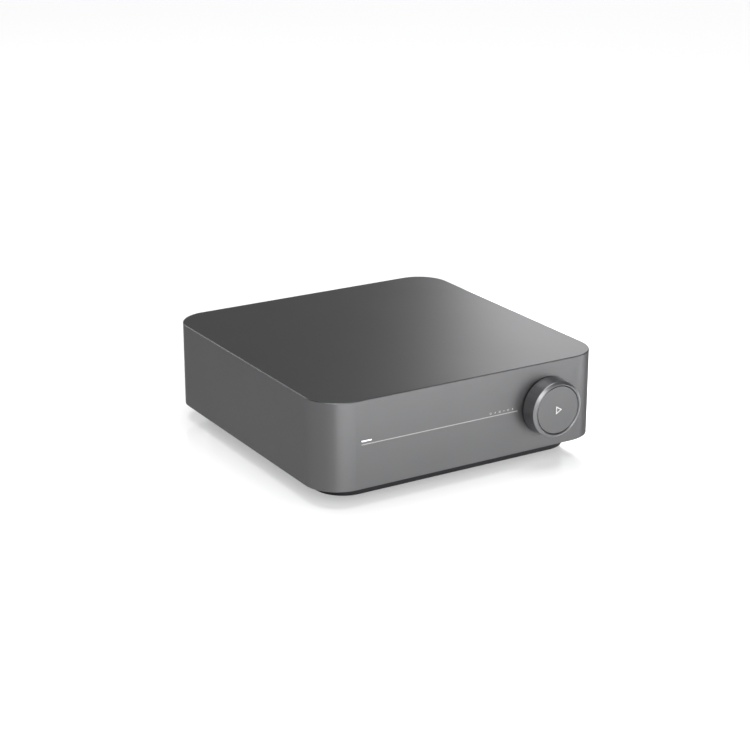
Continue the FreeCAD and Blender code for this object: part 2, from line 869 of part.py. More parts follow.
web_back = S.knob_front - S.knob_well_depth - S.knob_web
web_front = S.knob_front - S.knob_well_depth
spigot_hole = S.hub_spigot_radius + S.thread_clearance
clip_front = -S.shell_wall - S.bush_flange - S.end_float
clip_back = clip_front - S.clip_thickness
wheel_front = clip_back - S.wheel_set_back
wheel_back = wheel_front - S.wheel_thickness
board_front = -S.knob_board_set_back
switch_front = board_front + S.switch_height
button_front = S.knob_front - S.button_recess
button_back = button_front - S.button_thickness
stem_end = switch_front + S.button_travel + S.moving_clearance


def make_knob_ring():
    """Turn the aluminium ring: tapered side, bevelled front, a lip, a well for the button and a web."""
    body = new_body("knob_ring")
    turn(body, "profile", [
        (spigot_hole, web_back),
        (S.knob_back_radius - S.knob_skirt, web_back),
        (S.knob_back_radius - S.knob_skirt, S.knob_gap),
        (S.knob_back_radius, S.knob_gap),
        (S.knob_front_radius, S.knob_front - S.knob_bevel_depth),
        (S.knob_lip_radius, S.knob_front),
        (S.knob_well_radius + S.knob_lip_bevel, S.knob_front),
        (S.knob_well_radius, S.knob_front - S.knob_lip_bevel),
        (S.knob_well_radius, web_front),
        (spigot_hole, web_front),
    ])
    round_edges(
        body, "bevel_edge", "Fillet", S.knob_bevel_round,
        level_at((S.knob_front - S.knob_bevel_depth).number),
    )
    on_knob_axis(body)


def make_knob_hub():
    """Turn the hollow hub: a flange on the ring's web and a tube through the bush, grooved for the clip."""
    body = new_body("knob_hub")
    groove = S.hub_radius - S.clip_groove
    turn(body, "profile", [
        (S.hub_bore_radius, -S.hub_reach),
        (S.hub_radius, -S.hub_reach),
        (S.hub_radius, clip_back - S.thread_clearance),
        (groove, clip_back - S.thread_clearance),
        (groove, clip_front + S.thread_clearance),
        (S.hub_radius, clip_front + S.thread_clearance),
        (S.hub_radius, web_back),
        (S.hub_spigot_radius, web_back),
        (S.hub_spigot_radius, web_front),
        (S.hub_flange_radius, web_front),
        (S.hub_flange_radius, web_front + S.hub_flange),
        (S.hub_bore_radius, web_front + S.hub_flange),
    ])
    on_knob_axis(body)


def make_front_bush():
    """Turn the brass bush that the hub runs in, flanged behind the front wall."""
    body = new_body("front_bush")
    bore = S.hub_radius + S.running_clearance
    turn(body, "profile", [
        (bore, -S.shell_wall - S.bush_flange),
        (S.bush_flange_radius, -S.shell_wall - S.bush_flange),
        (S.bush_flange_radius, -S.shell_wall),
        (S.bush_radius, -S.shell_wall),
        (S.bush_radius, S.bush_front),
        (bore, S.bush_front),
    ])
    on_knob_axis(body)


def make_bush_nut():
    """Make the hexagon nut that clamps the bush to the front wall, hidden in the knob's skirt."""
    body = new_body("bush_nut")
    sketch = new_sketch(body, "hexagon", "plan")
    draw_hexagon(sketch, 0, 0, S.nut_radius)
    draw_circle(sketch, 0, 0, S.bush_radius + S.thread_clearance)
    pad(body, sketch, S.nut_height, 1)
    on_knob_axis(body)


def make_shaft_clip():
    """Punch the open spring clip that keeps the hub from pulling out of the bush."""
    body = new_body("shaft_clip")
    inner = S.hub_radius - S.clip_groove + S.thread_clearance
    turn(body, "profile", [
        (inner, clip_back), (S.clip_radius, clip_back), (S.clip_radius, clip_front), (inner, clip_front)
    ])
    cut_block(body, "mouth", around(0, S.clip_mouth), (-S.clip_radius, 0), (clip_back, clip_front))
    on_knob_axis(body)


def make_code_wheel():
    """Mould the slotted wheel on the hub's tail whose slots the sensor counts."""
    body = new_body("code_wheel")
    bore = S.hub_radius + S.thread_clearance
    turn(body, "profile", [
        (bore, wheel_front - S.wheel_boss),
        (S.wheel_boss_radius, wheel_front - S.wheel_boss),
        (S.wheel_boss_radius, wheel_back),
        (S.wheel_radius, wheel_back),
        (S.wheel_radius, wheel_front),
        (bore, wheel_front),
    ])
    slot = cut_block(
        body, "slot", around(S.wheel_slot_radius, S.wheel_slot_length), around(0, S.wheel_slot_width),
        (wheel_back, wheel_front),
    )
    repeat_round(body, slot, S.wheel_slot_count)
    on_knob_axis(body)


def make_code_sensor():
    """Stand the forked sensor on the knob board, with an arm each side of the wheel's rim."""
    body = new_body("code_sensor")
    arm_front = wheel_front + S.sensor_air + S.sensor_arm
    rim = S.wheel_radius
    bridge = rim + S.moving_clearance * 2
    block(
        body, "fork", around(0, S.sensor_width), (-bridge - S.sensor_bridge, S.sensor_wrap - rim),
        (board_front, arm_front),
    )
    cut_block(
        body, "gap", around(0, S.sensor_width), (-bridge, S.sensor_wrap - rim),
        (wheel_back - S.sensor_air, wheel_front + S.sensor_air),
    )
    on_knob_axis(body)


def make_knob_board():
    """Cut the board behind the knob, held on four bosses of the front wall."""
    body = new_body("knob_board")
    sketch = new_sketch(body, "outline", "plan", board_front - S.board_thickness)
    draw_rectangle(sketch, around(0, S.knob_board_width), around(0, S.knob_board_height))
    for side, end in FOUR_CORNERS:
        x = S.knob_board_screws_x / 2 * side
        draw_circle(sketch, x, S.knob_board_screws_z / 2 * end, small_hole_radius)
    pad(body, sketch, S.board_thickness, 1)
    on_knob_axis(body)


def make_knob_board_screws():
    """Make the four small screws that hold the knob board to its bosses."""
    body = new_body("knob_board_screws")
    back = board_front - S.board_thickness
    heads = new_sketch(body, "heads", "plan", back)
    shanks = new_sketch(body, "shanks", "plan", back)
    for side, end in FOUR_CORNERS:
        x = S.knob_board_screws_x / 2 * side
        y = S.knob_board_screws_z / 2 * end
        draw_circle(heads, x, y, S.small_screw_head_radius)
        draw_circle(shanks, x, y, S.small_screw_radius)
    pad(body, heads, S.small_screw_head_height, -1)
    pad(body, shanks, S.board_thickness + S.small_screw_bite, 1)
    on_knob_axis(body)


def make_button_guide():
    """Mould the fixed guide: a base over the switch and a tube inside the hub, flat inside on one side."""
    body = new_body("button_guide")
    base_top = board_front + S.guide_base_height
    bore = S.button_stem_radius + S.running_clearance
    block(
        body, "base", around(0, S.guide_base), around(0, S.guide_base), (board_front, base_top)
    )
    round_edges(body, "base_corners", "Fillet", S.guide_base_wall, standing)
    tube = new_sketch(body, "tube", "plan", board_front)
    draw_circle(tube, 0, 0, S.guide_radius)
    pad(body, tube, S.guide_front - board_front, 1)
    hole = new_sketch(body, "bore", "plan", board_front)
    draw_circle(hole, 0, 0, bore)
    pocket(body, hole, S.guide_front - board_front, 1)
    room = S.switch_width + S.seat_clearance * 2
    cut_block(
        body, "switch_room", around(0, room), around(0, room),
        (board_front, base_top - S.guide_base_wall),
    )
    flat = S.button_stem_radius - S.button_flat + S.running_clearance
    wall = (bore + S.guide_radius) / 2
    block(
        body, "key", (flat, wall), around(0, S.guide_key_width),
        (base_top - S.guide_base_wall, S.guide_front),
    )
    on_knob_axis(body)


def make_play_button():
    """Turn the centre disc with its long stem; a flat on the stem keeps the disc upright."""
    body = new_body("play_button")
    radius = S.knob_well_radius - S.moving_clearance
    turn(body, "profile", [
        (0, stem_end - S.button_tip),
        (S.button_tip_radius, stem_end - S.button_tip),
        (S.button_tip_radius, stem_end),
        (S.button_stem_radius, stem_end),
        (S.button_stem_radius, button_back),
        (radius, button_back),
        (radius, button_front - S.button_edge),
        (radius - S.button_edge, button_front),
        (0, button_front),
    ])
    flat = S.button_stem_radius - S.button_flat
    cut_block(
        body, "flat", (flat, S.button_stem_radius + S.button_flat),
        (-S.button_stem_radius, S.button_stem_radius), (stem_end, button_back),
    )
    on_knob_axis(body)


def make_push_switch():
    """Make the small switch on the board that the stem's tip presses through its well."""
    body = new_body("push_switch")
    sketch = new_sketch(body, "case", "plan", board_front)
    draw_rectangle(sketch, around(0, S.switch_width), around(0, S.switch_width))
    pad(body, sketch, S.switch_height, 1)
    well = new_sketch(body, "well", "plan", switch_front)
    draw_circle(well, 0, 0, S.button_tip_radius + S.moving_clearance)
    pocket(body, well, S.switch_well, -1)
    on_knob_axis(body)


# Rear panel and the loudspeaker posts in it

socket_widths = {
    "phono": S.phono_block_width,
    "optical": S.optical_size,
    "video": S.video_width,
    "network": S.network_width,
    "usb": S.usb_width,
    "inlet": S.inlet_flange_width,
}
posts_width = S.post_pitch + S.collar_radius * 2
row_spare = window_half_x * 2 - posts_width - sum(socket_widths.values())
post_margin = row_spare * S.post_margin_share
socket_gap = (row_spare - post_margin) / (len(socket_widths) + 1)
post_left_x = post_margin + S.collar_radius - window_half_x
post_low_z = window_high - S.post_top_margin - S.post_pitch
post_places = [
    (post_left_x + S.post_pitch * column, post_low_z + S.post_pitch * level)
    for level in (0, 1)
    for column in (1, 0)
]


def socket_x(wanted):
    """Find the middle of a socket in the row, which leaves the same gap between all neighbours."""
    names = list(socket_widths)
    number = names.index(wanted)
    before = sum(socket_widths[name] for name in names[:number])
    row_start = post_left_x + S.post_pitch + S.collar_radius
    return row_start + socket_gap * (number + 1) + before + socket_widths[wanted] / 2


phono_x = socket_x("phono")
optical_x = socket_x("optical")
video_x = socket_x("video")
network_x = socket_x("network")
usb_x = socket_x("usb")
inlet_x = socket_x("inlet")
phono_low_z = shell_bottom + S.phono_rise
phono_places = {
    "line_in_left": (phono_x, phono_low_z + S.phono_pitch),
    "line_in_right": (phono_x, phono_low_z),
    "sub_out": (optical_x, phono_low_z + S.phono_pitch),
}
inlet_z = shell_bottom + S.inlet_rise
optical_z = board_top + S.optical_size / 2
video_z = board_top + S.video_height / 2
usb_z = board_top + S.usb_height / 2
network_z = board_top + S.network_height / 2


def cut_port(body, name, x, z, width, height):
    """Cut a rectangular socket hole through the rear panel with a little slack."""
    sketch = new_sketch(body, name, "front", panel_front)
    slack = S.seat_clearance * 2
    draw_rectangle(sketch, around(x, width + slack), around(z, height + slack))
    pocket(body, sketch, S.panel_thickness, 1)


def make_rear_panel():
    """Press the black socket panel: a plate in the window, a flange behind it and a hole for each socket."""
    body = new_body("rear_panel")
    slack = S.seat_clearance
    across = (slack - window_half_x, window_half_x - slack)
    sketch = new_sketch(body, "plate", "front", panel_front)
    draw_rectangle(sketch, across, (window_low + slack, window_high - slack))
    pad(body, sketch, S.panel_thickness, 1)
    round_edges(body, "corners", "Fillet", S.window_corner_radius - slack, along_y)
    sketch = new_sketch(body, "flange_step", "front", panel_front)
    draw_rectangle(sketch, across, (window_low + slack, window_high - slack))
    pad(body, sketch, S.thread_clearance, -1)
    sketch = new_sketch(body, "flange", "front", panel_front - S.thread_clearance)
    flange_x = window_half_x + S.panel_overlap
    draw_rectangle(sketch, (-flange_x, flange_x), (window_low - S.panel_overlap, roof_under - slack))
    pad(body, sketch, S.panel_flange, -1)
    cut_port(body, "inlet_hole", inlet_x, inlet_z, S.inlet_body_width, S.inlet_body_height)
    make_panel_room(body)
    cut_port(body, "usb_hole", usb_x, usb_z, S.usb_width, S.usb_height)
    cut_port(body, "network_hole", network_x, network_z, S.network_width, S.network_height)
    cut_port(body, "video_hole", video_x, video_z, S.video_width, S.video_height)
    cut_port(body, "optical_hole", optical_x, optical_z, S.optical_size, S.optical_size)
    sketch = new_sketch(body, "round_holes", "front", panel_front)
    for x, z in post_places:
        draw_circle(sketch, x, z, S.collar_spigot_radius + S.thread_clearance)
    for x, z in phono_places.values():
        draw_circle(sketch, x, z, S.phono_radius + S.seat_clearance)
    pocket(body, sketch, S.panel_thickness, 1)


def make_panel_room(body):
    """Open the middle of the flange, so that the sockets seat against the plate itself."""
    inset = S.panel_overlap / 2
    sketch = new_sketch(body, "flange_room", "front", panel_front)
    draw_rectangle(
        sketch, (inset - window_half_x, window_half_x - inset), (window_low + inset, window_high - inset)
    )
    pocket(body, sketch, S.panel_flange + S.thread_clearance, -1)


def on_rear_panel(item, x, z):
    """Put a turned piece on the rear panel's outer face, its own Z pointing to the back."""
    place(item, x, panel_back, z, -90)


def make_post_studs():
    """Turn the four brass studs, each with a bore for a plug in its end and a tail to the post board."""
    studs = []
    for number, (x, z) in enumerate(post_places, start=1):
        rod = rod_part(
            f"stud_rod_{number}", S.stud_radius, S.stud_length + S.stud_tail,
            x, panel_back - S.stud_tail, z, -90,
        )
        bore = rod_part(
            f"stud_bore_{number}", S.plug_bore_radius, S.plug_bore_depth,
            x, panel_back + S.stud_length - S.plug_bore_depth, z, -90,
        )
        studs.append(cut_part(f"stud_{number}", rod, bore))
    group("post_studs", studs)


def make_post_collars():
    """Mould the four fixed insulating collars that seat each stud in the panel."""
    collars = []
    for number, (x, z) in enumerate(post_places, start=1):
        flange = rod_part(f"collar_flange_{number}", S.collar_radius, S.collar_height, x, panel_back, z, -90)
        spigot = rod_part(
            f"collar_spigot_{number}", S.collar_spigot_radius, S.panel_thickness + S.panel_flange,
            x, panel_front - S.panel_flange, z, -90,
        )
        bore = rod_part(
            f"collar_bore_{number}", S.stud_radius + S.thread_clearance,
            S.panel_thickness + S.panel_flange + S.collar_height,
            x, panel_front - S.panel_flange, z, -90,
        )
        collars.append(
            cut_part(f"collar_{number}", fuse_parts(f"collar_solid_{number}", [flange, spigot]), bore)
        )
    group("post_collars", collars)


washer_low = S.collar_height + S.moving_clearance
cap_low = washer_low + S.washer_height + S.moving_clearance
post_bore = S.stud_radius + S.running_clearance
POST_NAMES = ("right_minus", "right_plus", "left_minus", "left_plus")


def make_clamp_washer(name, x, z):
    """Turn the coloured washer that clamps a bare wire and slides on the stud without turning."""
    body = new_body(f"{name}_washer")
    high = washer_low + S.washer_height
    turn(body, "profile", [
        (post_bore, washer_low),
        (S.washer_radius - S.cap_edge, washer_low),
        (S.washer_radius, washer_low + S.cap_edge),
        (S.washer_radius, high),
        (post_bore, high),
    ])
    on_rear_panel(body, x, z)


def make_post_cap(name, x, z):
    """Turn the screw cap with chamfered ends and a ring of notches round its grip."""
    body = new_body(f"{name}_cap")
    high = cap_low + S.cap_length
    turn(body, "profile", [
        (post_bore, cap_low),
        (S.cap_radius - S.cap_edge, cap_low),
        (S.cap_radius, cap_low + S.cap_edge),
        (S.cap_radius, high - S.cap_edge),
        (S.cap_radius - S.cap_edge, high),
        (post_bore, high),
    ])
    notch = new_sketch(body, "notch", "plan", cap_low + S.cap_notch_start)
    mouth = S.cap_radius + S.cap_notch_depth
    draw_outline(notch, [
        (S.cap_radius - S.cap_notch_depth, 0), (mouth, -S.cap_notch_width), (mouth, S.cap_notch_width)
    ])
    repeat_round(body, pocket(body, notch, S.cap_length - S.cap_notch_start, 1), S.cap_notch_count)
    on_rear_panel(body, x, z)


def make_post_board():
    """Stand the small board that joins the studs' tails to the main board."""
    body = new_body("post_board")
    left = post_places[1][0] - S.post_board_margin
    right = post_places[0][0] + S.post_board_margin
    back = panel_back - S.post_board_gap
    sketch = new_sketch(body, "outline", "front", back)
    draw_rectangle(sketch, (left, right), (board_top, post_places[2][1] + S.post_board_margin))
    for x, z in post_places:
        draw_circle(sketch, x, z, S.stud_radius + S.thread_clearance)
    pad(body, sketch, S.board_thickness, -1)


# Phono, optical, video, network and USB sockets

def make_phono_block():
    """Mould the stepped black block that holds the three phono sockets behind the panel."""
    body = new_body("phono_block")
    half = S.phono_block_width / 2
    top = phono_low_z + S.phono_pitch + half
    step_z = phono_low_z + S.phono_pitch - half
    left = phono_x - half
    right = phono_x + half
    sketch = new_sketch(body, "profile", "front", panel_front)
    draw_outline(sketch, [
        (left, board_top), (right, board_top), (right, step_z), (optical_x + half, step_z),
        (optical_x + half, top), (left, top),
    ])
    pad(body, sketch, S.phono_block_depth, -1)


def make_phono_barrels():
    """Turn the three plated barrels with a thin flange against the panel."""
    barrels = []
    inner = S.phono_radius - S.phono_wall
    for name, (x, z) in phono_places.items():
        tube = rod_part(
            f"{name}_tube", S.phono_radius, S.phono_length + S.panel_thickness, x, panel_front, z, -90
        )
        flange = rod_part(
            f"{name}_ring", S.phono_flange_radius, S.phono_wall * 2, x, panel_back, z, -90
        )
        hole = rod_part(
            f"{name}_hole", inner, S.phono_length + S.panel_thickness, x, panel_front, z, -90
        )
        barrels.append(cut_part(f"{name}_barrel", fuse_parts(f"{name}_solid", [tube, flange]), hole))
    group("phono_barrels", barrels)


def make_phono_insert(name, x, z):
    """Turn one coloured insulator, with the hole for the plug's centre pin."""
    rod = rod_part(
        f"{name}_core", S.phono_radius - S.phono_wall - S.thread_clearance,
        S.phono_length + S.panel_thickness - S.phono_wall, x, panel_front, z, -90,
    )
    hole = rod_part(
        f"{name}_bore", S.phono_bore_radius, S.phono_bore_depth,
        x, panel_back + S.phono_length - S.phono_wall - S.phono_bore_depth, z, -90,
    )
    keep(f"{name}_insert", cut_part(f"{name}_insert", rod, hole))


def make_optical_jack():
    """Mould the optical socket with its square mouth, and a lens post at the back of the cavity."""
    body = new_body("optical_jack")
    mouth = panel_back + S.panel_recess / 2
    block(
        body, "body", around(optical_x, S.optical_size), (panel_back - S.optical_body_depth, mouth),
        (board_top, board_top + S.optical_size),
    )
    cut_block(
        body, "cavity", around(optical_x, S.optical_cavity), (mouth - S.optical_depth, mouth),
        around(optical_z, S.optical_cavity),
    )


shutter_axis_y = panel_back + S.panel_recess / 2 - S.shutter_inset
shutter_axis_z = optical_z + S.optical_cavity / 2 - S.moving_clearance - S.shutter_pin_radius


def make_optical_shutter():
    """Mould the hinged flap that closes the optical socket, with its pin along the top."""
    body = new_body("optical_shutter")
    width = S.optical_cavity - S.moving_clearance * 2
    low = optical_z - S.optical_cavity / 2 + S.moving_clearance
    sketch = new_sketch(body, "pin", "side", optical_x - width / 2)
    draw_circle(sketch, shutter_axis_y, shutter_axis_z, S.shutter_pin_radius)
    pad(body, sketch, width, 1)
    block(
        body, "flap", around(optical_x, width), around(shutter_axis_y, S.shutter_thickness),
        (low, shutter_axis_z),
    )


def draw_port(sketch, x, z, width, height, corner):
    """Draw a socket's outline, with its two lower corners cut off where it has a corner."""
    left, right = around(x, width)
    low, high = around(z, height)
    if corner is None:
        draw_rectangle(sketch, (left, right), (low, high))
        return
    draw_outline(sketch, [
        (left + corner, low), (right - corner, low), (right, low + corner), (right, high), (left, high),
        (left, low + corner),
    ])


def make_shell_socket(label, x, width, height, depth, corner):
    """Fold a thin metal socket shell that stands on the board and shows at the panel."""
    body = new_body(label)
    mouth = panel_back + S.panel_recess / 2
    z = board_top + height / 2
    sketch = new_sketch(body, "outline", "front", mouth)
    draw_port(sketch, x, z, width, height, corner)
    pad(body, sketch, depth, -1)
    wall = S.port_wall
    sketch = new_sketch(body, "mouth", "front", mouth)
    draw_port(sketch, x, z, width - wall * 2, height - wall * 2, corner)
    pocket(body, sketch, depth - wall * 2, -1)


def make_port_tongues():
    """Mould the flat tongues that carry the contacts in the video and USB sockets."""
    lip = S.panel_recess / 2
    tongues = []
    for name, x, width, height, depth in (
        ("video", video_x, S.video_width, S.video_height, S.video_depth),
        ("usb", usb_x, S.usb_width, S.usb_height, S.usb_depth),
    ):
        back = panel_back + lip - depth + S.port_wall * 2
        tongues.append(box_part(
            f"{name}_tongue", around(x, width - S.tongue_margin * 2), (back, panel_back - S.tongue_margin),
            around(board_top + height / 2, S.tongue_thickness),
        ))
    group("port_tongues", tongues)


def make_network_jack():
    """Mould the network socket: a cavity for the plug with the stepped slot of its latch below."""
    body = new_body("network_jack")
    mouth = panel_back + S.panel_recess / 2
    block(
        body, "body", around(network_x, S.network_width), (mouth - S.network_depth, mouth),
        (board_top, board_top + S.network_height),
    )
    floor = board_top + S.network_floor + S.network_latch_height
    cut_block(
        body, "cavity", around(network_x, S.network_cavity_width), (mouth - S.network_cavity_depth, mouth),
        (floor, floor + S.network_cavity_height),
    )
    cut_block(
        body, "latch", around(network_x, S.network_latch_width), (mouth - S.network_cavity_depth, mouth),
        (board_top + S.network_floor, floor),
    )


# Mains inlet

def make_mains_inlet():
    """Mould the two-pole inlet: a flange on the panel, a body behind it and a figure-eight recess."""
    body = new_body("mains_inlet")
    flange = new_sketch(body, "flange", "front", panel_back)
    draw_rectangle(flange, around(inlet_x, S.inlet_flange_width), around(inlet_z, S.inlet_flange_height))
    pad(body, flange, S.panel_recess, 1)
    round_edges(body, "flange_corners", "Fillet", S.inlet_flange_corner, along_y)
    block(
        body, "body", around(inlet_x, S.inlet_body_width), (panel_back - S.inlet_body_depth, panel_back),
        around(inlet_z, S.inlet_body_height),
    )
    leg_back = panel_front - S.panel_flange - S.seat_clearance
    block(
        body, "leg", around(inlet_x, S.inlet_body_width),
        (panel_back - S.inlet_body_depth, leg_back), (board_top, inlet_z),
    )
    recess = new_sketch(body, "waist", "front", rear_y)
    draw_rectangle(recess, around(inlet_x, S.inlet_pin_pitch), around(inlet_z, S.inlet_waist))
    pocket(body, recess, S.inlet_recess, -1)
    for side, name in ((-1, "near_lobe"), (1, "far_lobe")):
        lobe = new_sketch(body, name, "front", rear_y)
        draw_circle(lobe, inlet_x + S.inlet_pin_pitch / 2 * side, inlet_z, S.inlet_lobe_radius)
        pocket(body, lobe, S.inlet_recess, -1)
    holes = new_sketch(body, "pin_holes", "front", rear_y)
    for side in (-1, 1):
        draw_circle(
            holes, inlet_x + S.inlet_pin_pitch / 2 * side, inlet_z, S.inlet_pin_radius + S.thread_clearance
        )
    pocket(body, holes, S.inlet_body_depth + S.panel_recess, -1)


def make_inlet_pins():
    """Make the two round pins that stand in the inlet's recess."""
    start = panel_back - S.inlet_body_depth
    floor = rear_y - S.inlet_recess
    pins = []
    for side, name in ((-1, "near"), (1, "far")):
        pins.append(rod_part(
            f"{name}_pin", S.inlet_pin_radius, floor + S.inlet_pin_length - start,
            inlet_x + S.inlet_pin_pitch / 2 * side, start, inlet_z, -90,
        ))
    group("inlet_pins", pins)


# Boards, their supports and what stands on them

board_rear = rear_y - S.shell_wall - S.panel_flange - S.board_rear_margin
board_half_x = shell_half_x - S.shell_wall - S.board_side_margin
power_left = board_half_x - S.power_board_width
power_front = front_y + S.knob_board_set_back + S.board_thickness + S.power_board_front_gap
main_front = board_rear - S.main_board_length
power_board = ((power_left, board_half_x), (power_front, board_rear))
main_board = ((-board_half_x, power_left - S.board_gap), (main_front, board_rear))
board_screw_places = [
    (x, y)
    for (left, right), (front, rear) in (main_board, power_board)
    for x in (left + S.board_screw_inset, right - S.board_screw_inset)
    for y in (front + S.board_screw_front_inset, rear - S.board_screw_rear_inset)
]


def make_board(label, outline, screw_places):
    """Cut a flat board with its four screw holes."""
    body = new_body(label)
    sketch = new_sketch(body, "outline", "plan", board_under)
    draw_rectangle(sketch, *outline)
    for x, y in screw_places:
        draw_circle(sketch, x, y, screw_hole_radius)
    pad(body, sketch, S.board_thickness, 1)


def make_standoffs():
    """Make the tapped hexagon standoffs on the base plate that the boards rest on."""
    body = new_body("board_standoffs")
    sketch = new_sketch(body, "rings", "plan", plate_top)
    for x, y in board_screw_places:
        draw_hexagon(sketch, x, y, S.standoff_radius)
        draw_circle(sketch, x, y, screw_hole_radius)
    pad(body, sketch, S.standoff_height, 1)


def make_board_screws():
    """Fix the two boards to their standoffs."""
    body = new_body("board_screws")
    add_screws(body, "board", board_screw_places, board_top, S.board_thickness + S.standoff_height / 2, -1)


chip_x = S.chip_side_margin - board_half_x
chip_y = board_rear - S.chip_rear_margin


def make_chips_and_spreader():
    """Place the two amplifier chips, and the extruded block that takes their heat to the roof."""
    chips = []
    for side in (-1, 1):
        x = chip_x + S.chip_pitch / 2 * side
        chips.append(box_part(
            f"chip_{side + 2}", around(x, S.chip_size), around(chip_y, S.chip_size),
            (board_top, board_top + S.chip_height),
        ))
    group("amplifier_chips", chips)
    body = new_body("heat_spreader")
    low = board_top + S.chip_height
    left, right = around(chip_x, S.spreader_width)
    column_left, column_right = around(chip_x, S.spreader_column)
    foot_top = low + S.spreader_foot
    head_under = roof_under - S.spreader_head
    sketch = new_sketch(body, "section", "front", chip_y - S.spreader_depth / 2)
    draw_outline(sketch, [
        (left, low), (right, low), (right, foot_top), (column_right, foot_top),
        (column_right, head_under), (right, head_under), (right, roof_under), (left, roof_under),
        (left, head_under), (column_left, head_under), (column_left, foot_top), (left, foot_top),
    ])
    pad(body, sketch, S.spreader_depth, 1)


def make_filters():
    """Stand the four output coils, and the film capacitors between them and the posts."""
    coils = []
    films = []
    for number, step in enumerate((-3, -1, 1, 3)):
        x = chip_x + S.coil_pitch / 2 * step
        coils.append(box_part(
            f"coil_{number}", around(x, S.coil_size), around(board_rear - S.coil_rear_margin, S.coil_size),
            (board_top, board_top + S.coil_height),
        ))
        films.append(box_part(
            f"film_{number}", around(x, S.film_length), around(board_rear - S.film_rear_margin, S.film_width),
            (board_top, board_top + S.film_height),
        ))
    group("filter_coils", coils)
    group("filter_capacitors", films)


def make_wireless_parts():
    """Place the shielded wireless module, and the two aerial boards low in the plastic pan."""
    x = main_board[0][1] - S.module_side_margin
    y = main_front + S.module_front_margin
    keep("wireless_module", box_part(
        "wireless_module", around(x, S.module_width), around(y, S.module_length),
        (board_top, board_top + S.module_height),
    ))
    floor = pan_bottom + S.pan_floor
    aerials = []
    for side in (-1, 1):
        x = (pan_half_x - S.pan_wall - S.aerial_width) * side
        aerials.append(box_part(
            f"aerial_{side + 2}", around(x, S.aerial_width),
            (S.aerial_width, S.aerial_width + S.aerial_length), (floor, floor + S.aerial_thickness),
        ))
    group("aerial_boards", aerials)


power_x = power_left + S.power_board_width / 2


def make_transformer():
    """Build the transformer: a wound bobbin with a ferrite core round its middle."""
    body = new_body("transformer")
    wire = S.transformer_wire
    y = board_rear - S.transformer_rear_margin
    top = board_top + S.transformer_height
    block(
        body, "winding", around(power_x, S.transformer_width - wire), around(y, S.transformer_length),
        (board_top, top - wire),
    )
    round_edges(body, "winding_corners", "Fillet", wire, standing)
    block(
        body, "core", around(power_x, S.transformer_width), around(y, S.transformer_length / 2),
        (board_top + wire / 2, top),
    )


def make_power_parts():
    """Stand the bulk capacitors and the ring choke on the power board."""
    cans = []
    for number in (0, 1):
        cans.append(rod_part(
            f"bulk_{number}", S.bulk_radius, S.bulk_height,
            power_x, power_front + S.bulk_front_margin + S.bulk_pitch * number, board_top,
        ))
    group("bulk_capacitors", cans)
    y = board_rear - S.choke_rear_margin
    ring = rod_part("choke_ring", S.choke_radius, S.choke_height, power_x, y, board_top)
    hole = rod_part("choke_hole", S.choke_hole_radius, S.choke_height, power_x, y, board_top)
    keep("mains_choke", cut_part("mains_choke", ring, hole))


def make_ribbon():
    """Lead the flat ribbon from the knob board back and down to the main board, between two connectors."""
    knob_back = front_y + S.knob_board_set_back + S.board_thickness
    high = knob_z - S.ribbon_drop
    plug_end = knob_back + S.connector_height * 2
    landing = main_front + S.connector_height
    ribbon_x = main_board[0][1] - S.ribbon_side_margin
    connectors = [
        box_part(
            "knob_connector", around(ribbon_x, S.ribbon_width + S.connector_height / 2),
            (knob_back, plug_end), around(high, S.connector_height),
        ),
        box_part(
            "main_connector", around(ribbon_x, S.ribbon_width + S.connector_height / 2),
            (landing, landing + S.connector_height * 2), (board_top, board_top + S.connector_height),
        ),
    ]
    group("ribbon_connectors", connectors)
    body = new_body("front_ribbon")
    low = board_top + S.connector_height / 2
    thick = S.ribbon_thickness
    drop_y = (plug_end + landing) / 2
    sketch = new_sketch(body, "path", "side", ribbon_x - S.ribbon_width / 2)
    draw_outline(sketch, [
        (plug_end, high - thick / 2), (drop_y, high - thick / 2), (drop_y, low - thick / 2),
        (landing, low - thick / 2), (landing, low + thick / 2), (drop_y + thick, low + thick / 2),
        (drop_y + thick, high + thick / 2), (plug_end, high + thick / 2),
    ])
    pad(body, sketch, S.ribbon_width, 1)
    bends = ((drop_y, high - thick / 2), (drop_y + thick, low + thick / 2))
    round_edges(body, "inner_bends", "Fillet", S.ribbon_bend_radius, along_x_at(bends))
    bends = ((drop_y + thick, high + thick / 2), (drop_y, low - thick / 2))
    round_edges(body, "outer_bends", "Fillet", S.ribbon_bend_radius + thick, along_x_at(bends))


def make_all():
    """Make every piece in the order in which the object is put together."""
    make_top_shell()
    make_front_line()
    make_status_guide()
    make_light_board()
    make_base_plate()
    make_base_pan()
    make_foot_ring()
    make_base_screws()
    make_knob_ring()
    make_knob_hub()
    make_front_bush()
    make_bush_nut()
    make_shaft_clip()
    make_code_wheel()
    make_code_sensor()
    make_knob_board()
    make_knob_board_screws()
    make_button_guide()
    make_play_button()
    make_push_switch()
    make_rear_panel()
    make_post_studs()
    make_post_collars()
    for name, (x, z) in zip(POST_NAMES, post_places):
        make_clamp_washer(name, x, z)
        make_post_cap(name, x, z)
    make_post_board()
    make_phono_block()
    make_phono_barrels()
    for name, (x, z) in phono_places.items():
        make_phono_insert(name, x, z)
    make_optical_jack()
    make_optical_shutter()
    make_shell_socket("video_jack", video_x, S.video_width, S.video_height, S.video_depth, S.video_corner)
    make_shell_socket("usb_jack", usb_x, S.usb_width, S.usb_height, S.usb_depth, None)
    make_port_tongues()
    make_network_jack()
    make_mains_inlet()
    make_inlet_pins()
    make_board("main_board", main_board, board_screw_places[:4])
    make_board("power_board", power_board, board_screw_places[4:])
    make_standoffs()
    make_board_screws()
    make_chips_and_spreader()
    make_filters()
    make_wireless_parts()
    make_transformer()
    make_power_parts()
    make_ribbon()


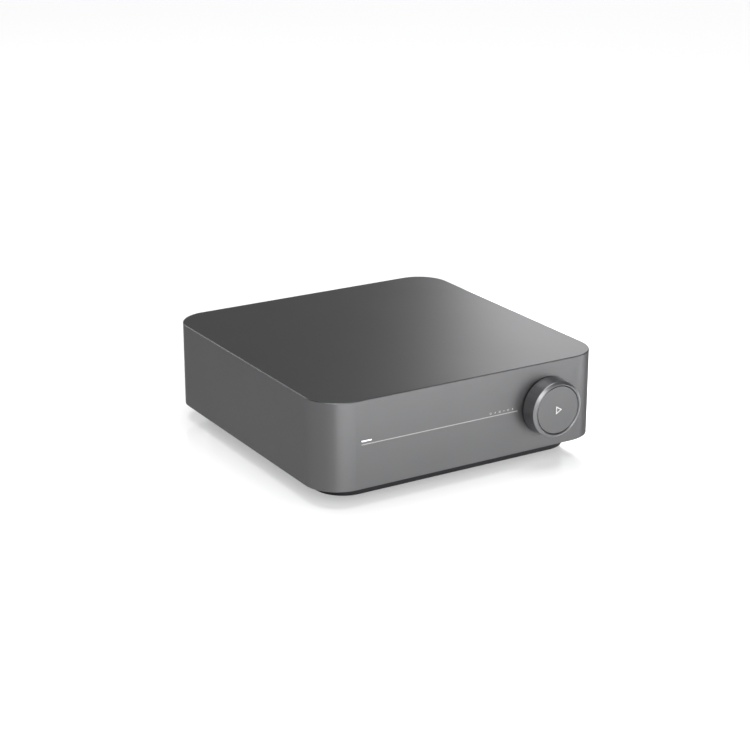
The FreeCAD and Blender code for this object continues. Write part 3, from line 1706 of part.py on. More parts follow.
def check_and_write():
    """Stop on any failed object or bad solid, then write each piece to its own file."""
    doc.recompute()
    failed = [item.Name for item in doc.Objects if {"Invalid", "Error"} & set(item.State)]
    if failed:
        raise SystemExit("failed objects: " + ", ".join(failed))
    for label, item in pieces.items():
        if item.Shape.isNull() or not item.Shape.isValid() or not item.Shape.Solids:
            raise SystemExit("bad shape: " + label)
    os.makedirs("parts", exist_ok=True)
    for label, item in pieces.items():
        item.Shape.exportStep(f"parts/{label}.step")
    print(len(pieces), "pieces written")


make_all()
check_and_write()
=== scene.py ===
from math import cos, pi, radians, sin

import bmesh
import bpy
from mathutils import Matrix, Vector


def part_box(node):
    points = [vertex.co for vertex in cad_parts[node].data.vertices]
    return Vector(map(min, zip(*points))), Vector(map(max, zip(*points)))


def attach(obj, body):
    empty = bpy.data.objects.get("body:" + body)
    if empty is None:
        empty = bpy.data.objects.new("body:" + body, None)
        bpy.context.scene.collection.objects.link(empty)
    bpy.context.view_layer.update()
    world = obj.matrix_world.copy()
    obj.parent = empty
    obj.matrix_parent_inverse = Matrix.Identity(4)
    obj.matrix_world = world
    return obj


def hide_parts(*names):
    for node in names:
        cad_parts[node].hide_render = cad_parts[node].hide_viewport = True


# A compact streaming amplifier in space grey aluminium, on white acrylic in a soft studio.
# X runs to the right along the front, Y towards the back and Z up, in metres, with the floor at zero.

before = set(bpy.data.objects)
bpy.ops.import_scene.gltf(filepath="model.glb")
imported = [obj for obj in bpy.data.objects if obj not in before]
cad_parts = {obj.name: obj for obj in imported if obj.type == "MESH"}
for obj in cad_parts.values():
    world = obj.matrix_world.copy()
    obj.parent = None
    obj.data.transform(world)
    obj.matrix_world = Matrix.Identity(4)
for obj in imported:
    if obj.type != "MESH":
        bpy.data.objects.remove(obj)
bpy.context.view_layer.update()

# The studio floor is one wide white acrylic sheet, polished where the object stands and matt further
# out, so that it gives back a faint image of what stands on it. It is lit from below as well, which
# keeps the shadow on it pale.
MM = 0.001
FLOOR_REACH = 15.0
POLISHED_REACH = 0.3
MATT_REACH = 0.75
POLISH_CLOUD = 180 * MM
ACRYLIC_WHITE = "#f9f9f9"
LIT_FROM_BELOW = 0.35


def linear(code):
    """The linear colour of an sRGB hex value."""
    parts = [int(code[place : place + 2], 16) / 255 for place in (1, 3, 5)]
    curved = [part / 12.92 if part <= 0.04045 else ((part + 0.055) / 1.055) ** 2.4 for part in parts]
    return (*curved, 1.0)


def new_tree(material):
    """The emptied node tree of a material."""
    material.use_nodes = True
    material.node_tree.nodes.clear()
    return material.node_tree


def add_node(tree, kind, inputs=(), **settings):
    """Adds a node, sets its settings, and sets or links each named input."""
    node = tree.nodes.new(kind)
    for name, value in settings.items():
        setattr(node, name, value)
    for name, value in dict(inputs).items():
        if isinstance(value, bpy.types.NodeSocket):
            tree.links.new(value, node.inputs[name])
        else:
            node.inputs[name].default_value = value
    return node


def drawn_piece(name, drawn, material):
    """Ends a drawing, and gives back its mesh as an object in one material."""
    mesh = bpy.data.meshes.new(name)
    drawn.to_mesh(mesh)
    drawn.free()
    made = bpy.data.objects.new(name, mesh)
    bpy.context.scene.collection.objects.link(made)
    made.data.materials.append(material)
    return made


acrylic = bpy.data.materials.new("polished_white_acrylic")
tree = new_tree(acrylic)
place = add_node(tree, "ShaderNodeTexCoord")
reach = add_node(tree, "ShaderNodeVectorMath", {0: place.outputs["Object"]}, operation="LENGTH")
polish = add_node(
    tree,
    "ShaderNodeMapRange",
    {
        "Value": reach.outputs["Value"],
        "From Min": POLISHED_REACH,
        "From Max": MATT_REACH,
        "To Min": 1.0,
        "To Max": 0.0,
    },
    interpolation_type="SMOOTHSTEP",
)
haze = add_node(tree, "ShaderNodeTexNoise", {"Scale": 1 / POLISH_CLOUD, "Detail": 3.0})
gloss = add_node(tree, "ShaderNodeMapRange", {"Value": haze.outputs["Fac"], "To Min": 0.10, "To Max": 0.16})
shader = add_node(
    tree,
    "ShaderNodeBsdfPrincipled",
    {
        "Base Color": linear(ACRYLIC_WHITE),
        "Roughness": gloss.outputs["Result"],
        "IOR": 1.49,
        "Specular IOR Level": polish.outputs["Result"],
    },
)
glow = add_node(tree, "ShaderNodeEmission", {"Color": linear("#ffffff"), "Strength": 1.0})
rays = add_node(tree, "ShaderNodeLightPath")
seen = add_node(
    tree,
    "ShaderNodeMath",
    {0: rays.outputs["Is Camera Ray"], 1: rays.outputs["Is Glossy Ray"]},
    operation="ADD",
)
seen = add_node(
    tree,
    "ShaderNodeMath",
    {0: seen.outputs[0], 1: rays.outputs["Is Transmission Ray"]},
    operation="ADD",
)
share = add_node(tree, "ShaderNodeMath", {0: seen.outputs[0], 1: LIT_FROM_BELOW}, operation="MULTIPLY")
lit = add_node(
    tree,
    "ShaderNodeMixShader",
    {0: share.outputs[0], 1: shader.outputs["BSDF"], 2: glow.outputs["Emission"]},
)
add_node(tree, "ShaderNodeOutputMaterial", {"Surface": lit.outputs["Shader"]})

drawn = bmesh.new()
bmesh.ops.create_grid(drawn, x_segments=8, y_segments=8, size=FLOOR_REACH)
studio_floor = drawn_piece("studio_floor", drawn, acrylic)

# The room has pale grey walls, white at the floor, under a dark ceiling, so that the body's sides stay
# even and its shadow short. The right wall is dark too, which parts the knob's bevel from its face. The
# tones fade into each other over stretches given as parts of the way up, or to the right.
FOOT_WHITE = "#fbfbfb"
WALL_GREY = "#d2d2d2"
DARK_GREY = "#151515"
WHITE_TO_GREY = (0.04, 0.26)
GREY_TO_CEILING = (0.4, 0.85)
GREY_TO_RIGHT = (0.6, 0.85)

room = bpy.data.worlds.new("studio_room")
bpy.context.scene.world = room
tree = new_tree(room)
place = add_node(tree, "ShaderNodeTexCoord")
axes = add_node(tree, "ShaderNodeSeparateXYZ", {"Vector": place.outputs["Generated"]})
upwards = add_node(
    tree,
    "ShaderNodeMapRange",
    {"Value": axes.outputs["Z"], "From Min": WHITE_TO_GREY[0], "From Max": WHITE_TO_GREY[1]},
    interpolation_type="SMOOTHSTEP",
)
wall = add_node(
    tree,
    "ShaderNodeMix",
    {"Factor": upwards.outputs["Result"], 6: linear(FOOT_WHITE), 7: linear(WALL_GREY)},
    data_type="RGBA",
)
overhead = add_node(
    tree,
    "ShaderNodeMapRange",
    {"Value": axes.outputs["Z"], "From Min": GREY_TO_CEILING[0], "From Max": GREY_TO_CEILING[1]},
    interpolation_type="SMOOTHSTEP",
)
rightwards = add_node(
    tree,
    "ShaderNodeMapRange",
    {"Value": axes.outputs["X"], "From Min": GREY_TO_RIGHT[0], "From Max": GREY_TO_RIGHT[1]},
    interpolation_type="SMOOTHSTEP",
)
dark = add_node(
    tree,
    "ShaderNodeMath",
    {0: overhead.outputs["Result"], 1: rightwards.outputs["Result"]},
    operation="MAXIMUM",
)
tone = add_node(
    tree,
    "ShaderNodeMix",
    {"Factor": dark.outputs[0], 6: wall.outputs[2], 7: linear(DARK_GREY)},
    data_type="RGBA",
)
walls = add_node(tree, "ShaderNodeBackground", {"Color": tone.outputs[2], "Strength": 1.0})
add_node(tree, "ShaderNodeOutputWorld", {"Surface": walls.outputs["Background"]})

# A round silk overhead lights the floor. A long soft box stands low in front and a short one at its
# right, a narrow one at the right back shades the top, a small one at the left back draws the top's far
# edge, and the key stands high over the camera.
SILK_SPREAD = 42
SILK_STRENGTH = 2.3


def soft_box(name, place, aim, width, height, watts):
    """Adds a soft box that the camera doesn't see, facing its aim, with sizes in metres."""
    lamp = bpy.data.lights.new(name, "AREA")
    lamp.shape = "RECTANGLE"
    lamp.size = width
    lamp.size_y = height
    lamp.energy = watts
    made = bpy.data.objects.new(name, lamp)
    bpy.context.scene.collection.objects.link(made)
    made.location = place
    made.rotation_euler = (Vector(aim) - Vector(place)).to_track_quat("-Z", "Y").to_euler()
    made.visible_camera = False


silk = bpy.data.lights.new("overhead_silk", "SUN")
silk.angle = radians(SILK_SPREAD)
silk.energy = SILK_STRENGTH
overhead_silk = bpy.data.objects.new("overhead_silk", silk)
bpy.context.scene.collection.objects.link(overhead_silk)

soft_box("front_box", (0.2, -1.05, 0.11), (0.2, 0.0, 0.11), width=1.75, height=0.2, watts=14.7)
soft_box("right_box", (0.927, -0.493, 0.11), (0.0, 0.0, 0.11), width=0.43, height=0.2, watts=6.0)
soft_box("right_back_box", (0.66, 0.683, 0.30), (0.0, 0.0, 0.30), width=0.23, height=0.5, watts=2.45)
soft_box("left_back_box", (-0.41, 1.128, 0.65), (0.0, 0.0, 0.05), width=0.3, height=0.4, watts=2.2)
soft_box("key_box", (-0.75, -0.95, 1.0), (0.0, 0.0, 0.03), width=1.15, height=0.85, watts=12.0)

# The camera stands where the photograph was taken from, with a long portrait lens. Its place in metres,
# its turns in degrees and its lens in millimetres put the outlines where the photograph has them.
CAMERA_PLACE = (-0.564147, -0.923761, 0.416858)
CAMERA_AZIMUTH = -31.1968
CAMERA_ELEVATION = 19.3669
CAMERA_ROLL = 0.078
FILM_WIDTH = 36.0
LENS_LENGTH = 90.243

lens = bpy.data.cameras.new("photograph_camera")
lens.sensor_width = FILM_WIDTH
lens.lens = LENS_LENGTH
lens.clip_end = 4 * FLOOR_REACH
camera = bpy.data.objects.new("photograph_camera", lens)
bpy.context.scene.collection.objects.link(camera)
camera.matrix_world = (
    Matrix.Translation(CAMERA_PLACE)
    @ Matrix.Rotation(radians(CAMERA_AZIMUTH), 4, "Z")
    @ Matrix.Rotation(radians(90 - CAMERA_ELEVATION), 4, "X")
    @ Matrix.Rotation(radians(CAMERA_ROLL), 4, "Z")
)
bpy.context.scene.camera = camera
bpy.context.scene.view_settings.view_transform = "Standard"

# The base plate is pressed from steel sheet and plated with bright zinc, and so are the bush's nut, the
# shaft's clip and the small screws inside. Zinc gives a pale, faintly blue metal with a soft spangle.
ZINC_LIGHT = "#b9bec4"
ZINC_DARK = "#9aa0a8"
SPANGLE = 3.0 * MM


def dress(material, *names):
    """Gives CAD nodes their finish."""
    for name in names:
        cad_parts[name].material_slots[0].material = material


zinc_steel = bpy.data.materials.new("bright_zinc_plated_steel")
tree = new_tree(zinc_steel)
place = add_node(tree, "ShaderNodeTexCoord")
spangle = add_node(
    tree,
    "ShaderNodeTexVoronoi",
    {"Vector": place.outputs["Object"], "Scale": 1 / SPANGLE, "Randomness": 1.0},
)
tone = add_node(
    tree,
    "ShaderNodeMix",
    {"Factor": spangle.outputs["Distance"], 6: linear(ZINC_LIGHT), 7: linear(ZINC_DARK)},
    data_type="RGBA",
)
gloss = add_node(
    tree, "ShaderNodeMapRange", {"Value": spangle.outputs["Distance"], "To Min": 0.28, "To Max": 0.42}
)
shader = add_node(
    tree,
    "ShaderNodeBsdfPrincipled",
    {"Base Color": tone.outputs[2], "Metallic": 1.0, "Roughness": gloss.outputs["Result"]},
)
add_node(tree, "ShaderNodeOutputMaterial", {"Surface": shader.outputs["BSDF"]})
dress(zinc_steel, "base_plate", "bush_nut", "shaft_clip", "knob_board_screws", "board_screws")

# The base pan, sockets and inlet are injection moulded in black ABS. The mould is spark eroded, so the
# plastic has a fine dull grain, drawn 0.45 mm wide so that it shows, which keeps highlights broad.
ABS_BLACK = "#171719"
ABS_WORN = "#1e1e20"
SPARK_GRAIN = 0.45 * MM
SHOT_CLOUD = 22 * MM

black_abs = bpy.data.materials.new("spark_textured_black_abs")
tree = new_tree(black_abs)
place = add_node(tree, "ShaderNodeTexCoord")
grain = add_node(
    tree, "ShaderNodeTexNoise", {"Vector": place.outputs["Object"], "Scale": 1 / SPARK_GRAIN, "Detail": 4.0}
)
cloud = add_node(
    tree, "ShaderNodeTexNoise", {"Vector": place.outputs["Object"], "Scale": 1 / SHOT_CLOUD, "Detail": 2.0}
)
tone = add_node(
    tree,
    "ShaderNodeMix",
    {"Factor": cloud.outputs["Fac"], 6: linear(ABS_BLACK), 7: linear(ABS_WORN)},
    data_type="RGBA",
)
gloss = add_node(
    tree, "ShaderNodeMapRange", {"Value": grain.outputs["Fac"], "To Min": 0.46, "To Max": 0.62}
)
relief = add_node(
    tree, "ShaderNodeBump", {"Height": grain.outputs["Fac"], "Strength": 0.35, "Distance": 0.03 * MM}
)
shader = add_node(
    tree,
    "ShaderNodeBsdfPrincipled",
    {
        "Base Color": tone.outputs[2],
        "Roughness": gloss.outputs["Result"],
        "IOR": 1.54,
        "Specular IOR Level": 0.1,
        "Normal": relief.outputs["Normal"],
    },
)
add_node(tree, "ShaderNodeOutputMaterial", {"Surface": shader.outputs["BSDF"]})
dress(
    black_abs,
    "base_pan",
    "phono_block",
    "optical_jack",
    "optical_shutter",
    "network_jack",
    "mains_inlet",
)

# The foot is one square ring of compression moulded rubber, pressed into the pan's groove. Rubber is
# dull and soft black, with a little bloom on its surface.
RUBBER_BLACK = "#242425"
RUBBER_BLOOM = "#323233"
BLOOM_PATCH = 5 * MM

foot_rubber = bpy.data.materials.new("moulded_black_rubber")
tree = new_tree(foot_rubber)
place = add_node(tree, "ShaderNodeTexCoord")
bloom = add_node(
    tree, "ShaderNodeTexNoise", {"Vector": place.outputs["Object"], "Scale": 1 / BLOOM_PATCH, "Detail": 5.0}
)
tone = add_node(
    tree,
    "ShaderNodeMix",
    {"Factor": bloom.outputs["Fac"], 6: linear(RUBBER_BLACK), 7: linear(RUBBER_BLOOM)},
    data_type="RGBA",
)
relief = add_node(
    tree, "ShaderNodeBump", {"Height": bloom.outputs["Fac"], "Strength": 0.3, "Distance": 0.04 * MM}
)
shader = add_node(
    tree,
    "ShaderNodeBsdfPrincipled",
    {"Base Color": tone.outputs[2], "Roughness": 0.78, "IOR": 1.52, "Normal": relief.outputs["Normal"]},
)
add_node(tree, "ShaderNodeOutputMaterial", {"Surface": shader.outputs["BSDF"]})
dress(foot_rubber, "foot_ring")

# The screws of the base are socket cap screws in steel with a black oxide finish, which is thin and
# leaves a dark metal that shines a little where a key has turned in it.
OXIDE_BLACK = "#2e2f31"
OXIDE_RUBBED = "#55565a"
RUB_MARK = 0.8 * MM

black_steel = bpy.data.materials.new("black_oxide_steel")
tree = new_tree(black_steel)
place = add_node(tree, "ShaderNodeTexCoord")
rub = add_node(
    tree, "ShaderNodeTexNoise", {"Vector": place.outputs["Object"], "Scale": 1 / RUB_MARK, "Detail": 4.0}
)
share = add_node(
    tree, "ShaderNodeMapRange", {"Value": rub.outputs["Fac"], "From Min": 0.55, "From Max": 0.75}
)
tone = add_node(
    tree,
    "ShaderNodeMix",
    {"Factor": share.outputs["Result"], 6: linear(OXIDE_BLACK), 7: linear(OXIDE_RUBBED)},
    data_type="RGBA",
)
shader = add_node(
    tree, "ShaderNodeBsdfPrincipled", {"Base Color": tone.outputs[2], "Metallic": 0.9, "Roughness": 0.42}
)
add_node(tree, "ShaderNodeOutputMaterial", {"Surface": shader.outputs["BSDF"]})

# Each screw is turned and its hexagon socket is broached. The drawn screws stand where the plain ones
# do: one at each corner holds the base plate to the body's bosses, and one at the middle of each side
# holds the pan to the plate.
HEAD_RADIUS = 2.7 * MM
HEAD_HEIGHT = 1.5 * MM
CROWN_RADIUS = HEAD_RADIUS * 0.9
CROWN_START = HEAD_HEIGHT * 0.8
SHANK_RADIUS = 1.5 * MM
SOCKET_REACH = 1.25 * MM
SOCKET_DEPTH = 0.95 * MM
SCREW_SIDES = 24
SIDE_REACH = 76.5 * MM


def ring_of(drawn, x, y, z, radius, flats=0):
    """A level ring of points round (x, y), on a circle or on the flats of a polygon of that reach."""
    points = []
    for side in range(SCREW_SIDES):
        step = 2 * pi * side / SCREW_SIDES
        reach = radius / cos((step + pi / flats) % (2 * pi / flats) - pi / flats) if flats else radius
        points.append(drawn.verts.new((x + reach * cos(step), y + reach * sin(step), z)))
    return points


def join_rings(drawn, rings):
    """Closes a skin over rings of points, with a flat end on the first and the last."""
    for near, far in zip(rings, rings[1:]):
        for place in range(len(near)):
            following = (place + 1) % len(near)
            drawn.faces.new((near[place], near[following], far[following], far[place]))
    drawn.faces.new(list(reversed(rings[0])))
    drawn.faces.new(rings[-1])


plain_low, plain_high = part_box("base_screws")
plate_low, plate_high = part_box("base_plate")
corner_reach = plain_high[0] - HEAD_RADIUS
side_seat = plain_low[2] + HEAD_HEIGHT
screws = []
for side, end in ((-1, -1), (-1, 1), (1, -1), (1, 1)):
    screws.append((corner_reach * side, corner_reach * end, plate_low[2], plain_high[2]))
for side, end in ((-1, 0), (1, 0), (0, -1), (0, 1)):
    screws.append((SIDE_REACH * side, SIDE_REACH * end, side_seat, plate_high[2]))
drawn = bmesh.new()
for x, y, seat, tip in screws:
    join_rings(
        drawn,
        [
            ring_of(drawn, x, y, tip, SHANK_RADIUS),
            ring_of(drawn, x, y, seat, SHANK_RADIUS),
            ring_of(drawn, x, y, seat, HEAD_RADIUS),
            ring_of(drawn, x, y, seat - CROWN_START, HEAD_RADIUS),
            ring_of(drawn, x, y, seat - HEAD_HEIGHT, CROWN_RADIUS),
            ring_of(drawn, x, y, seat - HEAD_HEIGHT, SOCKET_REACH, flats=6),
            ring_of(drawn, x, y, seat - HEAD_HEIGHT + SOCKET_DEPTH, SOCKET_REACH, flats=6),
        ],
    )
bmesh.ops.recalc_face_normals(drawn, faces=drawn.faces)
socket_screws = drawn_piece("socket_screws", drawn, black_steel)
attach(socket_screws, "chassis")
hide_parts("base_screws")

# The circuit boards are glass epoxy under a dark green solder mask. Copper tracks show through it as
# paler slanting lines, and bare pads are gold coloured. Both are drawn coarse, so that they show.
MASK_GREEN = "#12372a"
TRACK_GREEN = "#1d5440"
PAD_GOLD = "#c9a45c"
TRACK_PITCH = 1.6 * MM
TRACK_SHARE = 0.38
TRACK_FIELD = 9 * MM
PAD_PITCH = 3.2 * MM
PAD_SHARE = 0.16

circuit_board = bpy.data.materials.new("solder_masked_glass_epoxy")
tree = new_tree(circuit_board)
place = add_node(tree, "ShaderNodeTexCoord")
route = add_node(
    tree,
    "ShaderNodeTexVoronoi",
    {"Vector": place.outputs["Object"], "Scale": 1 / TRACK_FIELD, "Randomness": 0.9},
    distance="MANHATTAN",
)
lines = add_node(
    tree,
    "ShaderNodeMath",
    {0: route.outputs["Distance"], 1: TRACK_FIELD / TRACK_PITCH},
    operation="MULTIPLY",
)
phase = add_node(tree, "ShaderNodeMath", {0: lines.outputs[0]}, operation="FRACT")
track = add_node(tree, "ShaderNodeMath", {0: phase.outputs[0], 1: TRACK_SHARE}, operation="LESS_THAN")
mask = add_node(
    tree,
    "ShaderNodeMix",
    {"Factor": track.outputs[0], 6: linear(MASK_GREEN), 7: linear(TRACK_GREEN)},
    data_type="RGBA",
)
holes = add_node(
    tree,
    "ShaderNodeTexVoronoi",
    {"Vector": place.outputs["Object"], "Scale": 1 / PAD_PITCH, "Randomness": 0.25},
)
pad = add_node(tree, "ShaderNodeMath", {0: holes.outputs["Distance"], 1: PAD_SHARE}, operation="LESS_THAN")
tone = add_node(
    tree,
    "ShaderNodeMix",
    {"Factor": pad.outputs[0], 6: mask.outputs[2], 7: linear(PAD_GOLD)},
    data_type="RGBA",
)
relief = add_node(
    tree, "ShaderNodeBump", {"Height": track.outputs[0], "Strength": 0.4, "Distance": 0.04 * MM}
)
shader = add_node(
    tree,
    "ShaderNodeBsdfPrincipled",
    {
        "Base Color": tone.outputs[2],
        "Metallic": pad.outputs[0],
        "Roughness": 0.36,
        "IOR": 1.55,
        "Normal": relief.outputs["Normal"],
    },
)
add_node(tree, "ShaderNodeOutputMaterial", {"Surface": shader.outputs["BSDF"]})
dress(
    circuit_board,
    "light_board",
    "knob_board",
    "post_board",
    "main_board",
    "power_board",
    "aerial_boards",
)

# The standoffs and the front bush are turned from brass bar. The tool leaves fine rings, which are
# drawn 0.35 mm apart so that they show, and the yellow metal is bright but not polished.
BRASS_LIGHT = "#d2b06a"
BRASS_DARK = "#a8854a"
TOOL_FEED = 0.35 * MM
BRASS_STAIN = 4 * MM

turned_brass = bpy.data.materials.new("turned_brass")
tree = new_tree(turned_brass)
place = add_node(tree, "ShaderNodeTexCoord")
rings = add_node(
    tree,
    "ShaderNodeTexWave",
    {"Vector": place.outputs["Object"], "Scale": 1 / (pi * TOOL_FEED), "Distortion": 0.6, "Detail": 2.0},
    bands_direction="Z",
)
stain = add_node(
    tree, "ShaderNodeTexNoise", {"Vector": place.outputs["Object"], "Scale": 1 / BRASS_STAIN, "Detail": 3.0}
)
tone = add_node(
    tree,
    "ShaderNodeMix",
    {"Factor": stain.outputs["Fac"], 6: linear(BRASS_LIGHT), 7: linear(BRASS_DARK)},
    data_type="RGBA",
)
relief = add_node(
    tree, "ShaderNodeBump", {"Height": rings.outputs["Fac"], "Strength": 0.25, "Distance": 0.01 * MM}
)
shader = add_node(
    tree,
    "ShaderNodeBsdfPrincipled",
    {"Base Color": tone.outputs[2], "Metallic": 1.0, "Roughness": 0.3, "Normal": relief.outputs["Normal"]},
)
add_node(tree, "ShaderNodeOutputMaterial", {"Surface": shader.outputs["BSDF"]})
dress(turned_brass, "front_bush", "board_standoffs")

# The amplifier chips, the knob's sensor and its switch are moulded in black epoxy, which is filled
# with silica and comes out of a satin mould as an even dark grey. The grains are drawn 0.3 mm wide, so
# that they show.
EPOXY_BLACK = "#26272a"
EPOXY_FILLER = "#3a3b3e"
FILLER_GRAIN = 0.3 * MM

chip_epoxy = bpy.data.materials.new("black_moulding_epoxy")
tree = new_tree(chip_epoxy)
place = add_node(tree, "ShaderNodeTexCoord")
filler = add_node(
    tree,
    "ShaderNodeTexNoise",
    {"Vector": place.outputs["Object"], "Scale": 1 / FILLER_GRAIN, "Detail": 3.0},
)
tone = add_node(
    tree,
    "ShaderNodeMix",
    {"Factor": filler.outputs["Fac"], 6: linear(EPOXY_BLACK), 7: linear(EPOXY_FILLER)},
    data_type="RGBA",
)
shader = add_node(
    tree, "ShaderNodeBsdfPrincipled", {"Base Color": tone.outputs[2], "Roughness": 0.55, "IOR": 1.55}
)
add_node(tree, "ShaderNodeOutputMaterial", {"Surface": shader.outputs["BSDF"]})
dress(chip_epoxy, "amplifier_chips", "code_sensor", "push_switch")

# The heat spreader is a length of extruded aluminium between the chips and the roof. Extrusion leaves
# straight die lines along it, drawn 0.7 mm apart, on a bright bare metal.
SPREADER_LIGHT = "#c4c6c8"
SPREADER_DARK = "#a6a8ab"
DIE_LINE = 0.7 * MM
DIE_STRETCH = (0.02, 1.0, 1.0)

bare_aluminium = bpy.data.materials.new("extruded_bare_aluminium")
tree = new_tree(bare_aluminium)
place = add_node(tree, "ShaderNodeTexCoord")
drawn_out = add_node(tree, "ShaderNodeMapping", {"Vector": place.outputs["Object"], "Scale": DIE_STRETCH})
die_lines = add_node(
    tree,
    "ShaderNodeTexNoise",
    {"Vector": drawn_out.outputs["Vector"], "Scale": 1 / DIE_LINE, "Detail": 3.0},
)
tone = add_node(
    tree,
    "ShaderNodeMix",
    {"Factor": die_lines.outputs["Fac"], 6: linear(SPREADER_LIGHT), 7: linear(SPREADER_DARK)},
    data_type="RGBA",
)
relief = add_node(
    tree, "ShaderNodeBump", {"Height": die_lines.outputs["Fac"], "Strength": 0.4, "Distance": 0.02 * MM}
)
shader = add_node(
    tree,
    "ShaderNodeBsdfPrincipled",
    {"Base Color": tone.outputs[2], "Metallic": 1.0, "Roughness": 0.33, "Normal": relief.outputs["Normal"]},
)
add_node(tree, "ShaderNodeOutputMaterial", {"Surface": shader.outputs["BSDF"]})
dress(bare_aluminium, "heat_spreader")

# The filter coils, the transformer's core and the mains choke are pressed and sintered ferrite: a
# dense dark grey ceramic with a fine open grain.
FERRITE_DARK = "#303134"
FERRITE_LIGHT = "#46474b"
FERRITE_PORE = 0.5 * MM

ferrite = bpy.data.materials.new("sintered_ferrite")
tree = new_tree(ferrite)
place = add_node(tree, "ShaderNodeTexCoord")
pores = add_node(
    tree,
    "ShaderNodeTexNoise",
    {"Vector": place.outputs["Object"], "Scale": 1 / FERRITE_PORE, "Detail": 5.0},
)
tone = add_node(
    tree,
    "ShaderNodeMix",
    {"Factor": pores.outputs["Fac"], 6: linear(FERRITE_DARK), 7: linear(FERRITE_LIGHT)},
    data_type="RGBA",
)
relief = add_node(
    tree, "ShaderNodeBump", {"Height": pores.outputs["Fac"], "Strength": 0.4, "Distance": 0.03 * MM}
)
shader = add_node(
    tree,
    "ShaderNodeBsdfPrincipled",
    {"Base Color": tone.outputs[2], "Roughness": 0.5, "IOR": 1.9, "Normal": relief.outputs["Normal"]},
)
add_node(tree, "ShaderNodeOutputMaterial", {"Surface": shader.outputs["BSDF"]})
dress(ferrite, "filter_coils", "mains_choke")

# The transformer's ferrite core closes round the middle half of a bobbin, whose winding is wrapped in
# yellow polyester tape. The tape is smooth and a little glossy, and its layers show as fine level lines.
TAPE_YELLOW = "#d3a92c"
TAPE_SHADE = "#b98f1f"
TAPE_LAYER = 1.1 * MM
CORE_EDGE = 0.02 * MM

taped = bpy.data.materials.new("ferrite_core_and_taped_winding")
tree = new_tree(taped)
place = add_node(tree, "ShaderNodeTexCoord")
axes = add_node(tree, "ShaderNodeSeparateXYZ", {"Vector": place.outputs["Object"]})
layers = add_node(
    tree,
    "ShaderNodeTexWave",
    {"Vector": place.outputs["Object"], "Scale": 1 / (pi * TAPE_LAYER), "Distortion": 0.4, "Detail": 1.0},
    bands_direction="Z",
)
tape = add_node(
    tree,
    "ShaderNodeMix",
    {"Factor": layers.outputs["Fac"], 6: linear(TAPE_YELLOW), 7: linear(TAPE_SHADE)},
    data_type="RGBA",
)
pores = add_node(
    tree,
    "ShaderNodeTexNoise",
    {"Vector": place.outputs["Object"], "Scale": 1 / FERRITE_PORE, "Detail": 5.0},
)
core = add_node(
    tree,
    "ShaderNodeMix",
    {"Factor": pores.outputs["Fac"], 6: linear(FERRITE_DARK), 7: linear(FERRITE_LIGHT)},
    data_type="RGBA",
)
low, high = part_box("transformer")
core_middle = (low[1] + high[1]) / 2
core_reach = (high[1] - low[1]) / 4 + CORE_EDGE
off_middle = add_node(tree, "ShaderNodeMath", {0: axes.outputs["Y"], 1: core_middle}, operation="SUBTRACT")
reach = add_node(tree, "ShaderNodeMath", {0: off_middle.outputs[0]}, operation="ABSOLUTE")
past_core = add_node(tree, "ShaderNodeMath", {0: reach.outputs[0], 1: core_reach}, operation="GREATER_THAN")
tone = add_node(
    tree,
    "ShaderNodeMix",
    {"Factor": past_core.outputs[0], 6: core.outputs[2], 7: tape.outputs[2]},
    data_type="RGBA",
)
gloss = add_node(tree, "ShaderNodeMapRange", {"Value": past_core.outputs[0], "To Min": 0.5, "To Max": 0.3})
shader = add_node(
    tree,
    "ShaderNodeBsdfPrincipled",
    {"Base Color": tone.outputs[2], "Roughness": gloss.outputs["Result"], "IOR": 1.6},
)
add_node(tree, "ShaderNodeOutputMaterial", {"Surface": shader.outputs["BSDF"]})
dress(taped, "transformer")

# The mains choke is wound in two halves with enamelled copper wire, a reddish brown metal under clear
# varnish. The wire is drawn 0.9 mm thick, in nine square turns on each half.
COPPER_LIGHT = "#b86f45"
COPPER_DARK = "#8d4c2c"
VARNISH_RUN = 2 * MM
CHOKE_INNER = 5.0 * MM
CHOKE_OUTER = 11.0 * MM
WIRE_HALF = 0.45 * MM
TURNS = 9
TURN_STEP = 15
FIRST_TURN = 30

copper = bpy.data.materials.new("enamelled_copper_wire")
tree = new_tree(copper)
place = add_node(tree, "ShaderNodeTexCoord")
varnish = add_node(
    tree, "ShaderNodeTexNoise", {"Vector": place.outputs["Object"], "Scale": 1 / VARNISH_RUN, "Detail": 3.0}
)
tone = add_node(
    tree,
    "ShaderNodeMix",
    {"Factor": varnish.outputs["Fac"], 6: linear(COPPER_LIGHT), 7: linear(COPPER_DARK)},
    data_type="RGBA",
)
shader = add_node(
    tree, "ShaderNodeBsdfPrincipled", {"Base Color": tone.outputs[2], "Metallic": 1.0, "Roughness": 0.25}
)
add_node(tree, "ShaderNodeOutputMaterial", {"Surface": shader.outputs["BSDF"]})

